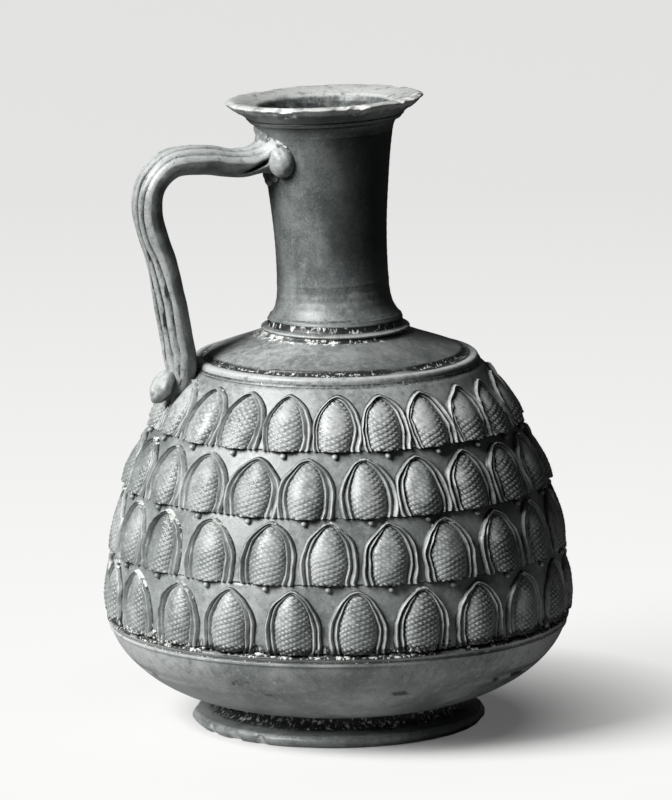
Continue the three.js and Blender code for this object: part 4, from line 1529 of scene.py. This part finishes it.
@dataclass
class Stage:
    """The pale floor, the soft studio light and the camera at the photograph's angle."""

    elevation: float = 10.5
    distance: float = 2800.0
    aim_height: float = 89.9
    roll: float = 0.6
    lens: float = 455.9
    sensor: float = 36.0
    floor_size: float = 12.0
    lamp_place: tuple[float, float, float] = (-5380.0, -3290.0, 4900.0)
    lamp_sizes: tuple[float, float] = (4600.0, 4200.0)
    lamp_power: float = 1270.0

    def hang(self, name: str, data: Any, place: Vector, turn: Any) -> Piece:
        """Adds a lamp or camera to the scene.

        Args:
            name: Its name.
            data: What it is.
            place: Where it hangs, in millimetres.
            turn: Which way it looks.

        Returns:
            The new object.
        """
        thing = bpy.data.objects.new(name, data)
        bpy.context.collection.objects.link(thing)
        thing.location = place * MM
        thing.rotation_mode = "QUATERNION"
        thing.rotation_quaternion = turn
        return thing

    def make_camera(self) -> None:
        """Places the camera far off in front of the jug, a little above it."""
        data = bpy.data.cameras.new("camera")
        data.lens, data.sensor_width = self.lens, self.sensor
        data.clip_start, data.clip_end = 0.1, 30.0
        tilt = math.radians(self.elevation)
        away = Vector((0.0, -math.cos(tilt), math.sin(tilt)))
        place = Vector((0.0, 0.0, self.aim_height)) + away * self.distance
        roll = Matrix.Rotation(-math.radians(self.roll), 3, "Z").to_quaternion()
        camera = self.hang("camera", data, place, (-away).to_track_quat("-Z", "Y") @ roll)
        bpy.context.scene.camera = camera

    def make_floor(self) -> None:
        """Lays a pale floor that reaches far behind the jug and keeps its shadow, which painted glow lifts
        further out.
        """
        clear_selection()
        bpy.ops.mesh.primitive_plane_add(size=self.floor_size, location=(0, 0, 0))
        floor = start_piece("floor")
        material = bpy.data.materials.new("white_paper_floor")
        tree = empty_tree(material)
        seen = add_node(tree, "LightPath", {}).outputs["Is Camera Ray"]
        place = add_node(tree, "TexCoord", {}).outputs["Object"]
        away = add_node(tree, "VectorMath", {0: place}, operation="LENGTH").outputs["Value"]
        paper = add_node(tree, "BsdfDiffuse", {"Color": linear("#e6e6e5")}).outputs[0]
        strength = add_range(tree, away, 0.1, 0.9, 0.97, 0.78)
        glow = add_node(tree, "Emission", {"Color": linear("#fefefd"), "Strength": strength}).outputs[0]
        # Painted light: the glow's share grows away from the jug and lifts the far end of its shadow.
        washed = add_range(tree, away, 0.05, 0.115, 0.1, 0.82)
        lit = add_node(tree, "MixShader", {0: washed, 1: paper, 2: glow}).outputs[0]
        shade = add_range(tree, away, 0.06, 0.24, 0.44, 0.02)
        bounce = add_node(tree, "BsdfDiffuse", {"Color": shade}).outputs[0]
        shown = add_node(tree, "MixShader", {0: seen, 1: bounce, 2: lit}).outputs[0]
        add_node(tree, "OutputMaterial", {"Surface": shown})
        floor.data.materials.append(material)

    def make_world(self) -> None:
        """Surrounds the scene with very soft white light, brighter where it is mirrored."""
        world = bpy.data.worlds.new("studio")
        tree = empty_tree(world)
        mirrored = add_node(tree, "LightPath", {}).outputs["Is Glossy Ray"]
        strength = add_range(tree, mirrored, 0.0, 1.0, 0.006, 0.035)
        sky = add_node(tree, "Background", {"Color": linear("#ffffff"), "Strength": strength})
        add_node(tree, "OutputWorld", {"Surface": sky.outputs[0]})
        bpy.context.scene.world = world

    def make_lamp(self) -> None:
        """Hangs the one soft rectangular lamp, which looks at the jug from the left."""
        data = bpy.data.lights.new("key_lamp", "AREA")
        data.energy = self.lamp_power
        data.shape = "RECTANGLE"
        data.size, data.size_y = (size * MM for size in self.lamp_sizes)
        place = Vector(self.lamp_place)
        self.hang("key_lamp", data, place, (Vector((0, 0, self.aim_height)) - place).to_track_quat("-Z", "Y"))

    def build(self) -> None:
        """Sets up the camera, the floor, the world and the lamp."""
        self.make_camera()
        self.make_floor()
        self.make_world()
        self.make_lamp()
        bpy.context.scene.view_settings.view_transform = "Standard"


def main() -> None:
    """Builds the jug's pieces in order and reports each."""
    logging.basicConfig(level=logging.INFO, format="%(name)s: %(message)s")
    Stage().build()
    wall, hand = Wall(), Hand()
    neck = Neck(Lean(pivot_height=wall.collar_seat - 5.0), hand)
    handle = Handle(wall, neck)

    # Soft grey glass with pale clouds, for the plain bands of the body.
    body = LeadGlaze("lead_glazed_earthenware_body").make()
    # A little paler, so that worn knobs and arches stand against their dark hollows.
    bright = {"deep": "#696e6d", "middle": "#8e9391", "pale": "#b1b4b2"}
    relief = LeadGlaze("lead_glazed_earthenware_relief", **bright).make()
    # Darker glass, for the neck and the collar that stood in the kiln's smoke.
    dark = {"deep": "#535857", "middle": "#747978", "pale": "#949997"}
    smoky = LeadGlaze("lead_glazed_earthenware_neck", **dark).make()
    # The strap's glass, pale where hands rubbed its ribs thin, and paler on its upper run as painted light.
    pulled = LeadGlaze("lead_glazed_earthenware_handle", middle="#8b908f").make()
    # The neck's glass in coarser patches over the pale clay of the chipped lip.
    worn = LeadGlaze("worn_glaze_over_pale_clay", **dark, thin="#c6c8c5", mottle=3.2).make()

    finish_piece(FootRing(wall).build(), body, Slot.BODY, "foot_ring")
    finish_piece(Bowl(wall, hand).build(), body, Slot.BODY, "bowl")
    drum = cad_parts["drum"]
    drum.data.materials.clear()
    drum.data.materials.append(body)
    rows = (
        ((14.0, 9.5, 2.2, 0.0), {"shift": -0.6, "lime": 0.4, "pale": 0.22}),
        ((16.4, 9.7, 2.4, 0.5), {"shift": -0.15, "lime": 0.6, "pale": -0.1}),
        ((16.2, 10.2, 2.2, -0.13), {"shift": -0.15, "arch_top": 0.94, "pale": -0.12}),
        ((16.0, 10.0, 2.4, 0.3), {"arch_top": 0.925, "lime": 1.2, "pellets": False}),
    )
    for number, (sizes, looks) in enumerate(rows, start=1):
        row = ScaleRow(wall, hand, f"scale_belt_{number}", number, *sizes, **looks)
        finish_piece(row.build(), relief, Slot.RELIEF, row.node)

    finish_piece(Shoulder(wall, hand).build(), body, Slot.BODY, "shoulder")
    finish_piece(Collar(wall, hand).build(), smoky, Slot.NECK, "neck_collar")
    finish_piece(neck.build(), smoky, Slot.NECK, "neck")
    finish_piece(Lip(neck).build(), worn, Slot.RIM, "lip")
    finish_piece(handle.strap(), pulled, Slot.HANDLE, "handle_strap")
    finish_piece(handle.button("button_near", 1), pulled, Slot.HANDLE, "neck_button_near")
    finish_piece(handle.button("button_far", -1), pulled, Slot.HANDLE, "neck_button_far")
    disc = handle.foot_pellet("foot_disc", 0.93, 0.6, 2.6, (2.9, 5.0, 5.0), seed=71, leaf=0.5)
    finish_piece(disc, pulled, Slot.HANDLE, "handle_foot_disc")
    bead = handle.foot_pellet("foot_bead", 0.96, 1.2, 4.4, (1.6, 1.6, 1.6), seed=72)
    finish_piece(bead, pulled, Slot.HANDLE, "handle_foot_bead")


if __name__ == "__main__":
    main()
